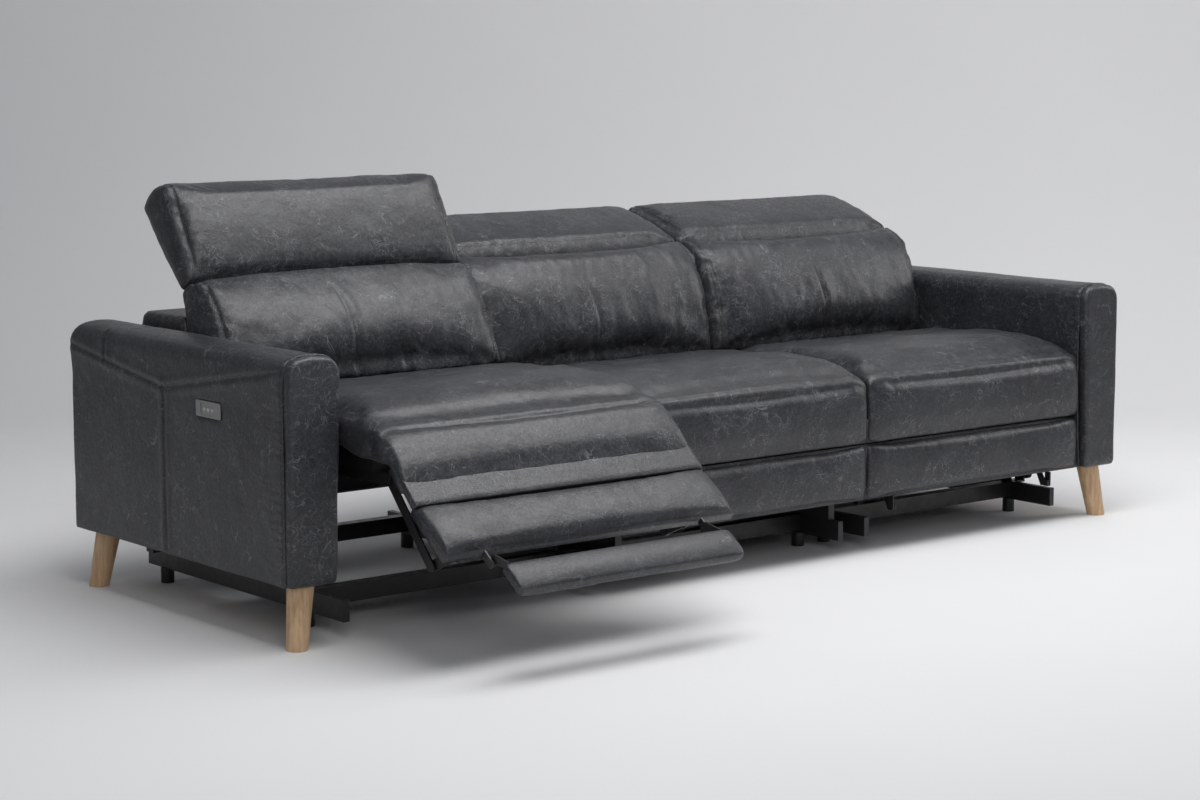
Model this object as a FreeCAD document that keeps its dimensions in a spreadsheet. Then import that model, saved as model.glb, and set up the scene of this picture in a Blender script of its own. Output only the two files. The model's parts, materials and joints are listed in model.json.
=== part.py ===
import FreeCAD
import Part
import Sketcher
import math
import os
from FreeCAD import Placement, Rotation, Vector

# Three-seat power reclining sofa in millimetres: +Z up, +Y towards the back,
# x = 0 on the middle of the sofa, origin on the floor at the centre of the bounding box.
# The left seat is modelled reclined with its legrest out, the right seat closed.

# Driving sizes
SIZES = {
    # arms
    "arm_wide": 124, "arm_deep": 885, "arm_top": 590, "arm_bottom": 128,
    "arm_edge_round": 22, "arm_rear_round": 60, "arm_wall": 18, "arm_clear": 1,
    "arm_front_thick": 26, "arm_foot_narrow": 14, "arm_board": 22,
    # legs
    "leg_top_radius": 28, "leg_bottom_radius": 22, "leg_splay_side": 20, "leg_splay_deep": 15,
    "leg_outer_inset": 50, "leg_front_at": 48, "leg_rear_inset": 62,
    # units, base and rear apron
    "unit_wide": 734, "rail_inset": 35, "rail_wide": 15, "rail_high": 45, "rail_lift": 33,
    "rail_front": 60, "rail_rear": 845, "bar_front": 190, "bar_rear": 760, "bar_deep": 30,
    "foot_radius": 15, "foot_front_at": 205, "foot_rear_at": 775, "tie_plate": 5,
    "apron_thick": 25, "apron_bottom": 130, "apron_top": 318,
    # pivots and links
    "plate_thick": 4, "plate_pitch": 6.5, "pin_radius": 5, "pin_play": 0.05, "head_radius": 8,
    "head_thick": 1.6, "link_radius": 11,
    "lift_front_at": 210, "lift_spacing": 310, "lift_pivot_high": 95, "lift_length": 180,
    "lift_lean": 37, "lift_inset": 51,
    # seat frame
    "frame_front": 72, "frame_rear": 610, "frame_bottom": 318, "frame_top": 366,
    "board_thick": 18, "plate_bottom": 222, "plate_front": 300, "plate_rear": 645,
    "tube_radius": 10, "spring_wire": 1.8, "spring_swing": 22,
    # seat cushion, front panels and legrest
    "seat_front": 22, "seat_seam": 420, "seat_crown": 26, "seat_rear": 540, "soft_gap": 0.3,
    "panel_front": 10, "panel_split": 262.6, "panel_bottom": 128.6, "split_gap": 2.6,
    "flap_tail_thick": 28, "board2_thick": 34, "end_gap": 5,
    "footrest_thick": 30, "footrest_long": 74, "footrest_inset": 84, "footrest_tuck": 50,
    "footrest_reach": 197,
    # back and headrest
    "back_pivot_at": 590, "back_pivot_high": 400, "shell_front": 690, "shell_rear": 885,
    "shell_bottom": 330, "shell_wall": 14, "shell_side_gap": 3, "shell_drop": 45,
    "cushion_front": 548, "cushion_bottom": 424,
    "head_pivot_at": 694, "head_pivot_high": 645, "head_leaf_inset": 24, "head_leaf_long": 82,
    # actuator
    "motor_at": 560, "motor_high": 262, "motor_long": 190, "motor_wide": 52, "motor_high_side": 44,
    "rod_radius": 9, "rod_play": 0.1, "crank_long": 62,
    # switch plates and buttons
    "switch_at": 303.5, "switch_high": 454.8, "switch_long": 97, "switch_tall": 33.5,
    "switch_deep": 14, "switch_proud": 1.5, "switch_round": 5, "switch_fit": 0.3,
    "button_radius": 4, "button_play": 0.08, "button_pitch": 16, "button_deep": 10,
    "button_long": 8, "recess_deep": 1.2,
}

# Linkage points on the closed seat, as (y, z), and the angles that each part swings through
FLAP_PIVOT = (22.0, 420.0)
OTTOMAN_PIVOT = (53.0, 303.0)
OTTOMAN_ELBOW = (119.5, 109.1)
BOARD_PIVOT = (80.2, 174.5)
FLAP_SWING = 44.5
REAR_OTTOMAN_SWING = 60.68
FRONT_OTTOMAN_SWING = -35.18
BOARD_SWING = 53.0
FOOTREST_FLIP = 180.0
CRANK_ANGLE = -10.0
PHOTO_LIFT = 40.0
PHOTO_BACK = 13.5
HEADREST_RAISE = 58.0
HEAD_LEAF_ANGLE = 22.0

doc = FreeCAD.newDocument("ReclinerSofa")
sheet = doc.addObject("Spreadsheet::Sheet", "Sizes")
for row, (alias, size) in enumerate(SIZES.items(), start=1):
    sheet.set("A%d" % row, str(size))
    sheet.setAlias("A%d" % row, alias)
doc.recompute()


class Sizes:
    """Numbers read back from the sheet, for shapes that are worked out in code."""


S = Sizes()
for alias in SIZES:
    setattr(S, alias, float(sheet.get(alias)))

HALF = S.unit_wide / 2
ARM_INNER = 1.5 * S.unit_wide
ARM_OUTER = ARM_INNER + S.arm_wide
pieces = []


def bound(words):
    """Write an expression on the sheet's cells, with plain words for the aliases."""
    parts = words.replace("(", "( ").replace(")", " )").split()
    return " ".join("Sizes." + part if part in SIZES else part for part in parts)


def keep(shape_object, label, body):
    """Register a finished piece under its node name and the body that it moves with."""
    shape_object.Label = label
    pieces.append((label, shape_object, body))
    return shape_object


def box(name, x, y, z):
    """A straight bar between (low, high) expressions along each axis."""
    bar = doc.addObject("Part::Box", name)
    for side, axis, (low, high) in zip(("Length", "Width", "Height"), "xyz", (x, y, z)):
        bar.setExpression(side, bound("( %s ) - ( %s )" % (high, low)))
        bar.setExpression("Placement.Base." + axis, bound(low))
    return bar


def rod_x(name, radius, x, y, z):
    """A round bar along X between (low, high) expressions, centred on y and z."""
    rod = doc.addObject("Part::Cylinder", name)
    rod.setExpression("Radius", bound(radius))
    rod.setExpression("Height", bound("( %s ) - ( %s )" % (x[1], x[0])))
    place_along_x(rod, Vector(0, 0, 0))
    rod.setExpression("Placement.Base.x", bound(x[0]))
    rod.setExpression("Placement.Base.y", bound(y))
    rod.setExpression("Placement.Base.z", bound(z))
    return rod


def place_along_x(rod, base):
    rod.Placement = Placement(base, Rotation(Vector(0, 1, 0), 90))


def group(name, members):
    """Separate solids that share one node."""
    compound = doc.addObject("Part::Compound", name)
    compound.Links = members
    return compound


def mirrored(name, source):
    """A copy on the other side of the unit's middle plane."""
    copy = doc.addObject("Part::Mirroring", name)
    copy.Source = source
    copy.Normal = Vector(1, 0, 0)
    return copy


def pair(members):
    """Each member and its mirror image."""
    return members + [mirrored(member.Name + "_mirror", member) for member in members]


def plane(body, role):
    return next(item for item in body.Origin.OriginFeatures if item.Role == role)


def sketch_on(body, role, name, offset=None):
    sketch = body.newObject("Sketcher::SketchObject", name)
    sketch.AttachmentSupport = [(plane(body, role), "")]
    sketch.MapMode = "FlatFace"
    if offset is not None:
        sketch.AttachmentOffset = Placement(Vector(0, 0, offset), Rotation())
    return sketch


def draw_circle(sketch, y, z, radius, radius_words):
    index = sketch.addGeometry(Part.Circle(Vector(y, z, 0), Vector(0, 0, 1), radius), False)
    sketch.addConstraint(Sketcher.Constraint("Radius", index, radius))
    sketch.setExpression("Constraints[%d]" % (sketch.ConstraintCount - 1), bound(radius_words))
    return index


def draw_slot(sketch, length, radius, radius_words):
    """A link outline: two round ends of one radius joined by straight sides."""
    ends = ((0.0, math.pi / 2, 3 * math.pi / 2), (length, -math.pi / 2, math.pi / 2))
    for centre, start, stop in ends:
        circle = Part.Circle(Vector(centre, 0, 0), Vector(0, 0, 1), radius)
        sketch.addGeometry(Part.ArcOfCircle(circle, start, stop), False)
    sketch.addGeometry(Part.LineSegment(Vector(0, radius, 0), Vector(length, radius, 0)), False)
    sketch.addGeometry(Part.LineSegment(Vector(0, -radius, 0), Vector(length, -radius, 0)), False)
    for line, point, arc, arc_point in ((2, 1, 0, 1), (2, 2, 1, 2), (3, 1, 0, 2), (3, 2, 1, 1)):
        sketch.addConstraint(Sketcher.Constraint("Tangent", line, point, arc, arc_point))
    sketch.addConstraint(Sketcher.Constraint("Radius", 0, radius))
    sketch.setExpression("Constraints[%d]" % (sketch.ConstraintCount - 1), bound(radius_words))


def draw_polygon(sketch, points):
    """A closed outline of straight sides; points are plain (y, z) pairs."""
    for start, stop in zip(points, points[1:] + points[:1]):
        sketch.addGeometry(Part.LineSegment(Vector(*start, 0), Vector(*stop, 0)), False)


def draw_rounded(sketch, half_long, half_tall, radius):
    """A rectangle with rounded corners about the sketch's origin."""
    long, tall = half_long - radius, half_tall - radius
    quarters = ((long, tall, 0), (-long, tall, 1), (-long, -tall, 2), (long, -tall, 3))
    ends = []
    for y, z, turns in quarters:
        circle = Part.Circle(Vector(y, z, 0), Vector(0, 0, 1), radius)
        start = turns * math.pi / 2
        arc = Part.ArcOfCircle(circle, start, start + math.pi / 2)
        sketch.addGeometry(arc, False)
        ends.append((arc.StartPoint, arc.EndPoint))
    for (_, stop), (start, _) in zip(ends, ends[1:] + ends[:1]):
        sketch.addGeometry(Part.LineSegment(stop, start), False)


def pad(body, sketch, length_words):
    feature = body.newObject("PartDesign::Pad", "Pad")
    feature.Profile = sketch
    feature.setExpression("Length", bound(length_words))
    return feature


def angle_of(start, stop):
    return math.degrees(math.atan2(stop[1] - start[1], stop[0] - start[0]))


def span(start, stop):
    return math.hypot(stop[0] - start[0], stop[1] - start[1])


def link(name, start, stop, inset, hole_at_start=True, hole_at_stop=True):
    """A flat steel link between two pivots, its outer face at the given inset."""
    body = doc.addObject("PartDesign::Body", name)
    sketch = sketch_on(body, "YZ_Plane", name + "_outline")
    length = span(start, stop)
    draw_slot(sketch, length, S.link_radius, "link_radius")
    hole = S.pin_radius + S.pin_play
    if hole_at_start:
        draw_circle(sketch, 0, 0, hole, "pin_radius + pin_play")
    if hole_at_stop:
        draw_circle(sketch, length, 0, hole, "pin_radius + pin_play")
    pad(body, sketch, "plate_thick")
    base = Vector(-HALF + inset, start[0], start[1])
    body.Placement = Placement(base, Rotation(Vector(1, 0, 0), angle_of(start, stop)))
    return body


def flat_plate(name, points, inset, holes=()):
    """A flat steel plate with a straight-sided outline, drawn on the closed seat."""
    body = doc.addObject("PartDesign::Body", name)
    sketch = sketch_on(body, "YZ_Plane", name + "_outline", -HALF + inset)
    draw_polygon(sketch, points)
    for y, z in holes:
        draw_circle(sketch, y, z, S.pin_radius + S.pin_play, "pin_radius + pin_play")
    pad(body, sketch, "plate_thick")
    return body


def pin(name, at, start, stop, head=None):
    """A pivot pin from one inset to another, with a flat head beyond its end."""
    shaft = doc.addObject("Part::Cylinder", name)
    shaft.setExpression("Radius", bound("pin_radius"))
    low, high = min(start, stop), max(start, stop)
    shaft.Height = high - low
    place_along_x(shaft, Vector(-HALF + low, at[0], at[1]))
    if head is None:
        return shaft
    cap = doc.addObject("Part::Cylinder", name + "_head")
    cap.setExpression("Radius", bound("head_radius"))
    cap.setExpression("Height", bound("head_thick"))
    place_along_x(cap, Vector(-HALF + head, at[0], at[1]))
    whole = doc.addObject("Part::Fuse", name + "_whole")
    whole.Base = shaft
    whole.Tool = cap
    return whole


def joined(name, members):
    """One solid from members that overlap or share a face."""
    fused = doc.addObject("Part::MultiFuse", name)
    fused.Shapes = members
    return fused


# Soft forms

def bowed_edge(start, stop, bow, outward, lift):
    """An arc between two corners that bows outward, straight with no bow."""
    if bow == 0:
        return Part.LineSegment(lift(*start), lift(*stop)).toShape()
    middle = ((start[0] + stop[0]) / 2, (start[1] + stop[1]) / 2)
    length = span(start, stop)
    normal = ((stop[1] - start[1]) / length * outward, (start[0] - stop[0]) / length * outward)
    crest = (middle[0] + normal[0] * bow, middle[1] + normal[1] * bow)
    return Part.Arc(lift(*start), lift(*crest), lift(*stop)).toShape()


def soft_wire(corners, bows, lift, inset, ease):
    """A closed outline of arcs, drawn in towards its middle by an inset."""
    centre = [sum(corner[axis] for corner in corners) / len(corners) for axis in (0, 1)]
    area = sum(a[0] * b[1] - b[0] * a[1] for a, b in zip(corners, corners[1:] + corners[:1]))
    outward = 1 if area > 0 else -1
    drawn = []
    for corner in corners:
        share = 1 - inset / span(centre, corner)
        drawn.append(tuple(centre[i] + (corner[i] - centre[i]) * share for i in (0, 1)))
    edges = []
    for index, start in enumerate(drawn):
        stop = drawn[(index + 1) % len(drawn)]
        edges.append(bowed_edge(start, stop, bows[index] * ease, outward, lift))
    return Part.Wire(edges)


def pillow_shape(corners, bows, half_wide, draw_in=9, soften=46):
    """A cushion across the unit: its side outline lofted from end to end, ends drawn in."""
    stations = [(-1, 0, 1.0, 0.4), (-1, 0.12, 0.5, 0.6), (-1, 0.45, 0.14, 0.76), (-1, 1, 0, 0.86),
                (-0.68, 0, 0, 0.95), (-0.34, 0, 0, 1.0)]
    places = [(half_wide * side + soften * step, draw_in * part, ease)
              for side, step, part, ease in stations]
    places = places + [(0.0, 0.01, 1.02)] + [(-x, inset, ease) for x, inset, ease in places[::-1]]
    wires = []
    for x, inset, ease in places:
        wires.append(soft_wire(corners, bows, lambda y, z, x=x: Vector(x, y, z), inset, ease))
    return Part.makeLoft(wires, True, True)


def feature(name, shape):
    piece = doc.addObject("Part::Feature", name)
    piece.Shape = shape
    return piece


# Poses of a unit: each body's placement for a lift, legrest, back and headrest position

def turn(point, degrees):
    """A rotation about the X direction through a (y, z) point."""
    centre = Vector(0, point[0], point[1])
    return Placement(Vector(0, 0, 0), Rotation(Vector(1, 0, 0), degrees), centre)


LIFT_LEAN = math.radians(S.lift_lean)
LIFT_REACH = (S.lift_length * math.sin(LIFT_LEAN), S.lift_length * math.cos(LIFT_LEAN))
LIFT_FRONT = (S.lift_front_at, S.lift_pivot_high)
LIFT_REAR = (S.lift_front_at + S.lift_spacing, S.lift_pivot_high)
SEAT_FRONT_PIVOT = (LIFT_FRONT[0] + LIFT_REACH[0], LIFT_FRONT[1] + LIFT_REACH[1])
SEAT_REAR_PIVOT = (LIFT_REAR[0] + LIFT_REACH[0], LIFT_REAR[1] + LIFT_REACH[1])
BACK_PIVOT = (S.back_pivot_at, S.back_pivot_high)
HEAD_PIVOT = (S.head_pivot_at, S.head_pivot_high)
MOTOR_PIVOT = (S.motor_at, S.motor_high)
FOOT_HINGE = (S.panel_front + 20,
              S.panel_split - (S.footrest_tuck + S.footrest_long + S.footrest_reach) / 2)


def crank_pin(swing):
    angle = math.radians(CRANK_ANGLE - swing)
    return (OTTOMAN_PIVOT[0] + S.crank_long * math.cos(angle),
            OTTOMAN_PIVOT[1] + S.crank_long * math.sin(angle))


def unit_pose(lift, legrest, back, headrest):
    """Placements of a unit's bodies; legrest runs from 0 folded to 1 out."""
    closed_pin, moved_pin = crank_pin(0), crank_pin(REAR_OTTOMAN_SWING * legrest)
    motor_turn = angle_of(MOTOR_PIVOT, moved_pin) - angle_of(MOTOR_PIVOT, closed_pin)
    motor_turn = (motor_turn + 180) % 360 - 180
    stroke = span(MOTOR_PIVOT, moved_pin) - span(MOTOR_PIVOT, closed_pin)
    axis = math.radians(angle_of(MOTOR_PIVOT, closed_pin))
    push = Placement(Vector(0, stroke * math.cos(axis), stroke * math.sin(axis)), Rotation())
    pose = {"root": Placement()}
    pose["front_lift"] = turn(LIFT_FRONT, lift)
    pose["rear_lift"] = turn(LIFT_REAR, lift)
    seat = pose["seat"] = pose["front_lift"] * turn(SEAT_FRONT_PIVOT, -lift)
    pose["flap"] = seat * turn(FLAP_PIVOT, -FLAP_SWING * legrest)
    pose["rear_ottoman"] = seat * turn(OTTOMAN_PIVOT, -REAR_OTTOMAN_SWING * legrest)
    elbow_turn = (REAR_OTTOMAN_SWING - FRONT_OTTOMAN_SWING) * legrest
    pose["front_ottoman"] = pose["rear_ottoman"] * turn(OTTOMAN_ELBOW, elbow_turn)
    board_turn = (FRONT_OTTOMAN_SWING - BOARD_SWING) * legrest
    pose["legrest"] = pose["front_ottoman"] * turn(BOARD_PIVOT, board_turn)
    pose["footrest"] = pose["legrest"] * turn(FOOT_HINGE, -FOOTREST_FLIP * legrest)
    pose["back"] = seat * turn(BACK_PIVOT, -back)
    pose["headrest"] = pose["back"] * turn(HEAD_PIVOT, headrest)
    pose["motor"] = seat * turn(MOTOR_PIVOT, motor_turn)
    pose["rod"] = pose["motor"] * push
    return pose


# Arms and legs

def arm_outline(narrow):
    """The arm's section as (x, z) corners, outer side first, for the arm on +X."""
    inner = ARM_INNER + S.arm_clear
    side = S.arm_top - 2 * S.arm_edge_round
    crown = S.arm_top - 8
    return [(ARM_OUTER, S.arm_bottom), (ARM_OUTER, side),
            (ARM_OUTER - 0.8 * S.arm_edge_round, crown),
            (inner + 0.8 * S.arm_edge_round, crown), (inner, side), (inner + narrow, S.arm_bottom)]


ARM_BOWS = [0, 6, 7, 6, 0, 0]


def side_outline(front):
    """A slab with the arm's side outline: square at the front, rounded at the top rear."""
    low, high, rear, radius = S.arm_bottom, S.arm_top + 9, S.arm_deep, S.arm_rear_round
    bend = Vector(0, rear - radius * (1 - math.sqrt(0.5)), high - radius * (1 - math.sqrt(0.5)))
    corners = [Vector(0, rear - radius, high), Vector(0, front, high), Vector(0, front, low),
               Vector(0, rear, low), Vector(0, rear, high - radius)]
    edges = [Part.LineSegment(a, b).toShape() for a, b in zip(corners, corners[1:])]
    edges.append(Part.Arc(corners[-1], bend, corners[0]).toShape())
    slab = Part.Face(Part.Wire(edges)).extrude(Vector(2 * S.arm_wide, 0, 0))
    slab.translate(Vector(ARM_INNER - S.arm_wide / 2, 0, 0))
    return slab


def arm_cover(side):
    front = S.arm_front_thick
    corners = arm_outline(0)
    wire = soft_wire(corners, ARM_BOWS, lambda x, z: Vector(x, front, z), 0, 1.0)
    body = Part.Face(wire).extrude(Vector(0, S.arm_deep - front, 0))
    body = body.common(side_outline(front))
    wall = S.arm_wall
    cavity = Part.makeBox(S.arm_wide - 2 * wall, S.arm_deep - front - 2 * wall,
                          S.arm_top - S.arm_bottom - 3 * wall,
                          Vector(ARM_INNER + wall, front + wall, S.arm_bottom))
    plate = Part.makeBox(S.switch_deep, S.switch_long + 2 * S.switch_fit,
                         S.switch_tall + 2 * S.switch_fit,
                         Vector(ARM_OUTER + S.switch_proud - S.switch_deep - S.switch_fit,
                                S.switch_at - S.switch_long / 2 - S.switch_fit,
                                S.switch_high - S.switch_tall / 2 - S.switch_fit))
    shape = body.cut(cavity).cut(plate)
    return mirror_to(side, shape)


def mirror_to(side, shape):
    """Keep a shape made for the +X arm, or mirror it to the -X arm."""
    return shape if side > 0 else shape.mirror(Vector(0, 0, 0), Vector(1, 0, 0))


def arm_front_panel(side):
    corners = arm_outline(S.arm_foot_narrow)
    thick = S.arm_front_thick
    stations = ((thick, 0, 1.0), (thick * 0.4, 0, 1.0), (thick * 0.12, 4, 0.9), (0, 11, 0.8))
    wires = [soft_wire(corners, ARM_BOWS, lambda x, z, y=y: Vector(x, y, z), inset, ease)
             for y, inset, ease in stations]
    return mirror_to(side, Part.makeLoft(wires, True, True))


def arm_frame(name, side):
    """Boards inside the arm: sill, top rail and three posts."""
    wall, fit = "arm_wall", "switch_fit"
    inner, outer = ("1.5 * unit_wide + arm_wall + switch_fit",
                    "1.5 * unit_wide + arm_wide - switch_deep - arm_wall")
    x = (inner, outer) if side > 0 else ("- ( %s )" % outer, "- ( %s )" % inner)
    y = ("arm_front_thick + %s + %s" % (wall, fit), "arm_deep - %s - %s" % (wall, fit))
    top = "arm_top - 3 * arm_wall - switch_fit"
    members = [box(name + "_sill", x, y, ("arm_bottom", "arm_bottom + arm_board")),
               box(name + "_rail", x, y, (top + " - arm_board", top))]
    middle = "( arm_deep + arm_front_thick ) / 2"
    posts = ((y[0], y[0] + " + 2 * arm_board"),
             (middle + " - arm_board", middle + " + arm_board"),
             (y[1] + " - 2 * arm_board", y[1]))
    for index, place in enumerate(posts):
        members.append(box("%s_post%d" % (name, index), x, place,
                           ("arm_bottom + arm_board", top + " - arm_board")))
    return group(name, members)


def leg(name, side, top_y, splay):
    """A turned leg that leans outwards, flat at the floor and under the arm."""
    body = doc.addObject("PartDesign::Body", name)
    top_x = side * (ARM_OUTER - S.leg_outer_inset)
    foot = sketch_on(body, "XY_Plane", name + "_foot")
    draw_circle(foot, top_x + side * S.leg_splay_side, top_y + splay, S.leg_bottom_radius,
                "leg_bottom_radius")
    top = sketch_on(body, "XY_Plane", name + "_top", S.arm_bottom)
    draw_circle(top, top_x, top_y, S.leg_top_radius, "leg_top_radius")
    loft = body.newObject("PartDesign::AdditiveLoft", name + "_loft")
    loft.Profile = foot
    loft.Sections = [top]
    return body


def switch_plate(name):
    """Metal switch housing let into the arm: rim, recessed face and three button bores."""
    body = doc.addObject("PartDesign::Body", name)
    outline = sketch_on(body, "YZ_Plane", name + "_rim")
    long, tall = S.switch_long / 2, S.switch_tall / 2
    draw_rounded(outline, long, tall, S.switch_round)
    pad(body, outline, "switch_deep")
    recess = sketch_on(body, "YZ_Plane", name + "_recess", S.switch_deep)
    draw_rounded(recess, long * 0.62, tall * 0.74, S.switch_round)
    pocket(body, recess, "recess_deep")
    bores = sketch_on(body, "YZ_Plane", name + "_bores", S.switch_deep)
    for step in (-1, 0, 1):
        draw_circle(bores, step * S.button_pitch, 0, S.button_radius, "button_radius")
    pocket(body, bores, "button_deep")
    return body


def pocket(body, sketch, depth_words):
    cut = body.newObject("PartDesign::Pocket", "Pocket")
    cut.Profile = sketch
    cut.setExpression("Length", bound(depth_words))
    return cut


def button(name):
    """A round push button with an eased rim."""
    body = doc.addObject("PartDesign::Body", name)
    sketch = sketch_on(body, "XY_Plane", name + "_half")
    radius, tip, ease = S.button_radius - S.button_play, S.button_long, S.button_radius * 0.15
    corners = [Vector(tip, radius - ease, 0), Vector(tip, 0, 0), Vector(0, 0, 0),
               Vector(0, radius, 0), Vector(tip - ease, radius, 0)]
    for start, stop in zip(corners, corners[1:]):
        sketch.addGeometry(Part.LineSegment(start, stop), False)
    bend = Part.Circle(Vector(tip - ease, radius - ease, 0), Vector(0, 0, 1), ease)
    sketch.addGeometry(Part.ArcOfCircle(bend, 0, math.pi / 2), False)
    turned = body.newObject("PartDesign::Revolution", name + "_turned")
    turned.Profile = sketch
    turned.ReferenceAxis = (sketch, ["H_Axis"])
    return body


def outward(side, depth, y, z):
    """Place a piece drawn along +X so that it points out of an arm's outer face."""
    base = Vector(side * (ARM_OUTER + S.switch_proud - depth), y, z)
    turned = Rotation() if side > 0 else Rotation(Vector(0, 0, 1), 180)
    return Placement(base, turned)


def build_arms():
    for side, word in ((-1, "left"), (1, "right")):
        keep(arm_frame(word + "_arm_frame", side), word + "_arm_frame", "root")
        keep(feature(word + "_arm_cover", arm_cover(side)), word + "_arm_cover", "root")
        keep(feature(word + "_arm_front_panel", arm_front_panel(side)),
             word + "_arm_front_panel", "root")
        plate = keep(switch_plate(word + "_switch_plate"), word + "_switch_plate", "root")
        plate.Placement = outward(side, S.switch_deep, S.switch_at, S.switch_high)
        for step, use in ((-1, "recline"), (0, "legrest"), (1, "headrest")):
            knob = keep(button("%s_%s_button" % (word, use)), "%s_%s_button" % (word, use), "root")
            depth = S.button_long + S.recess_deep - 1.6
            knob.Placement = outward(side, depth, S.switch_at + step * S.button_pitch, S.switch_high)
    rows = (("front", S.leg_front_at, -S.leg_splay_deep),
            ("rear", S.arm_deep - S.leg_rear_inset, S.leg_splay_deep))
    for word, top_y, splay in rows:
        legs = [leg("%s_leg_%d" % (word, index), side, top_y, splay)
                for index, side in enumerate((-1, 1))]
        keep(group(word + "_legs", legs), word + "_legs", "root")


# Base

def base_frame():
    """Steel rails, cross bars, ties, pivot ears and round feet under the three units."""
    members = []
    rail_z = ("rail_lift", "rail_lift + rail_high")
    for unit in (-1, 0, 1):
        middle = "%d * unit_wide" % unit
        for side in (-1, 1):
            label = "rail_%d_%d" % (unit + 1, side + 1)
            outer = "%s + %d * ( unit_wide / 2 - rail_inset )" % (middle, side)
            inner = "%s + %d * ( unit_wide / 2 - rail_inset - rail_wide )" % (middle, side)
            x = (outer, inner) if side < 0 else (inner, outer)
            members.append(box(label, x, ("rail_front", "rail_rear"), rail_z))
            for index, at in enumerate(("foot_front_at", "foot_rear_at")):
                foot = doc.addObject("Part::Cylinder", "%s_foot%d" % (label, index))
                foot.setExpression("Radius", bound("foot_radius"))
                foot.setExpression("Height", bound("rail_lift"))
                foot.setExpression("Placement.Base.x", bound(
                    "%s + %d * ( unit_wide / 2 - rail_inset - rail_wide / 2 )" % (middle, side)))
                foot.setExpression("Placement.Base.y", bound(at))
                members.append(foot)
        inner = "unit_wide / 2 - rail_inset - rail_wide"
        for index, at in enumerate(("bar_front", "bar_rear")):
            members.append(box("bar_%d_%d" % (unit + 1, index),
                               ("%s - ( %s )" % (middle, inner), "%s + %s" % (middle, inner)),
                               (at, at + " + bar_deep"), ("rail_lift + 7", rail_z[1])))
    for seam in (-1, 1):
        for index, at in enumerate(("bar_front", "bar_rear")):
            x = ("%d * unit_wide / 2 - rail_inset" % seam, "%d * unit_wide / 2 + rail_inset" % seam)
            members.append(box("tie_%d_%d" % (seam + 1, index), x, (at, at + " + bar_deep"), rail_z))
    for side in (-1, 1):
        members += arm_bracket(side)
    for unit in (-1, 1):
        ears = pair(pivot_ear("ear_%d_front" % (unit + 1), LIFT_FRONT)
                    + pivot_ear("ear_%d_rear" % (unit + 1), LIFT_REAR))
        placed = group("ears_%d" % (unit + 1), ears)
        placed.setExpression("Placement.Base.x", bound("%d * unit_wide" % unit))
        members.append(placed)
    return group("base_frame", members)


def arm_bracket(side):
    """A flat foot from the outer rail and an upright against the arm, front and rear."""
    edge = "1.5 * unit_wide + arm_clear"
    members = []
    for index, at in enumerate(("bar_front", "bar_rear")):
        y = (at, at + " + bar_deep")
        foot = ("1.5 * unit_wide - rail_inset", edge)
        upright = (edge + " - tie_plate", edge)
        if side < 0:
            foot = ("- ( %s )" % foot[1], "- ( %s )" % foot[0])
            upright = ("- ( %s )" % upright[1], "- ( %s )" % upright[0])
        name = "arm_bracket_%d_%d" % (side + 1, index)
        low = "rail_lift + rail_high - tie_plate"
        members.append(box(name + "_foot", foot, y, (low, "rail_lift + rail_high")))
        members.append(box(name + "_upright", upright, y,
                           ("rail_lift + rail_high", "arm_bottom + 60")))
    return members


def pivot_ear(name, at):
    """An ear on the rail with the pin that a lift link turns on."""
    inset = S.lift_inset - S.plate_pitch
    high = S.rail_lift + S.rail_high
    reach = S.link_radius + 8
    ear = flat_plate(name, [(at[0] - reach, high), (at[0] + reach, high),
                            (at[0] + S.link_radius, at[1] + S.link_radius),
                            (at[0] - S.link_radius, at[1] + S.link_radius)], inset)
    shaft = pin(name + "_pin", at, inset + S.plate_thick, S.lift_inset + S.plate_thick + 0.5,
                S.lift_inset + S.plate_thick + 0.3)
    return [joined(name + "_solid", [ear, shaft])]


def build_base():
    keep(base_frame(), "base_frame", "root")
    edge = "1.5 * unit_wide + arm_clear"
    apron = box("apron_board", ("- ( %s )" % edge, edge), ("arm_deep - apron_thick", "arm_deep"),
                ("apron_bottom", "apron_top"))
    keep(group("apron", [apron]), "rear_lower_panel", "root")


# Seats

def side_plate(name):
    """The seat's steel side plate: lift pivots, ottoman pivot and the ear for the back."""
    reach = S.link_radius
    back_ear = (S.back_pivot_at - reach - 3, S.back_pivot_at + reach + 3)
    outline = [(OTTOMAN_PIVOT[0] - reach, OTTOMAN_PIVOT[1] - reach),
               (S.plate_front - 20, OTTOMAN_PIVOT[1] - reach),
               (S.plate_front, S.plate_bottom), (S.plate_rear, S.plate_bottom),
               (S.plate_rear, S.frame_bottom), (back_ear[1], S.frame_bottom),
               (back_ear[1], S.back_pivot_high + reach), (back_ear[0], S.back_pivot_high + reach),
               (back_ear[0], S.frame_bottom), (OTTOMAN_PIVOT[0] - reach, S.frame_bottom)]
    inset = S.lift_inset + S.plate_pitch
    plate = flat_plate(name, outline, inset)
    outer, inner = inset, inset + S.plate_thick
    shafts = [pin(name + "_lift_front", SEAT_FRONT_PIVOT, S.lift_inset - 0.5, outer,
                  S.lift_inset - 0.3 - S.head_thick),
              pin(name + "_lift_rear", SEAT_REAR_PIVOT, S.lift_inset - 0.5, outer,
                  S.lift_inset - 0.3 - S.head_thick),
              pin(name + "_ottoman", OTTOMAN_PIVOT, inner, inner + S.plate_pitch - 0.3),
              pin(name + "_back", BACK_PIVOT, inner, inner + S.plate_pitch + 0.5,
                  inner + S.plate_pitch + 0.3)]
    return joined(name + "_solid", [plate] + shafts)


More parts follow.
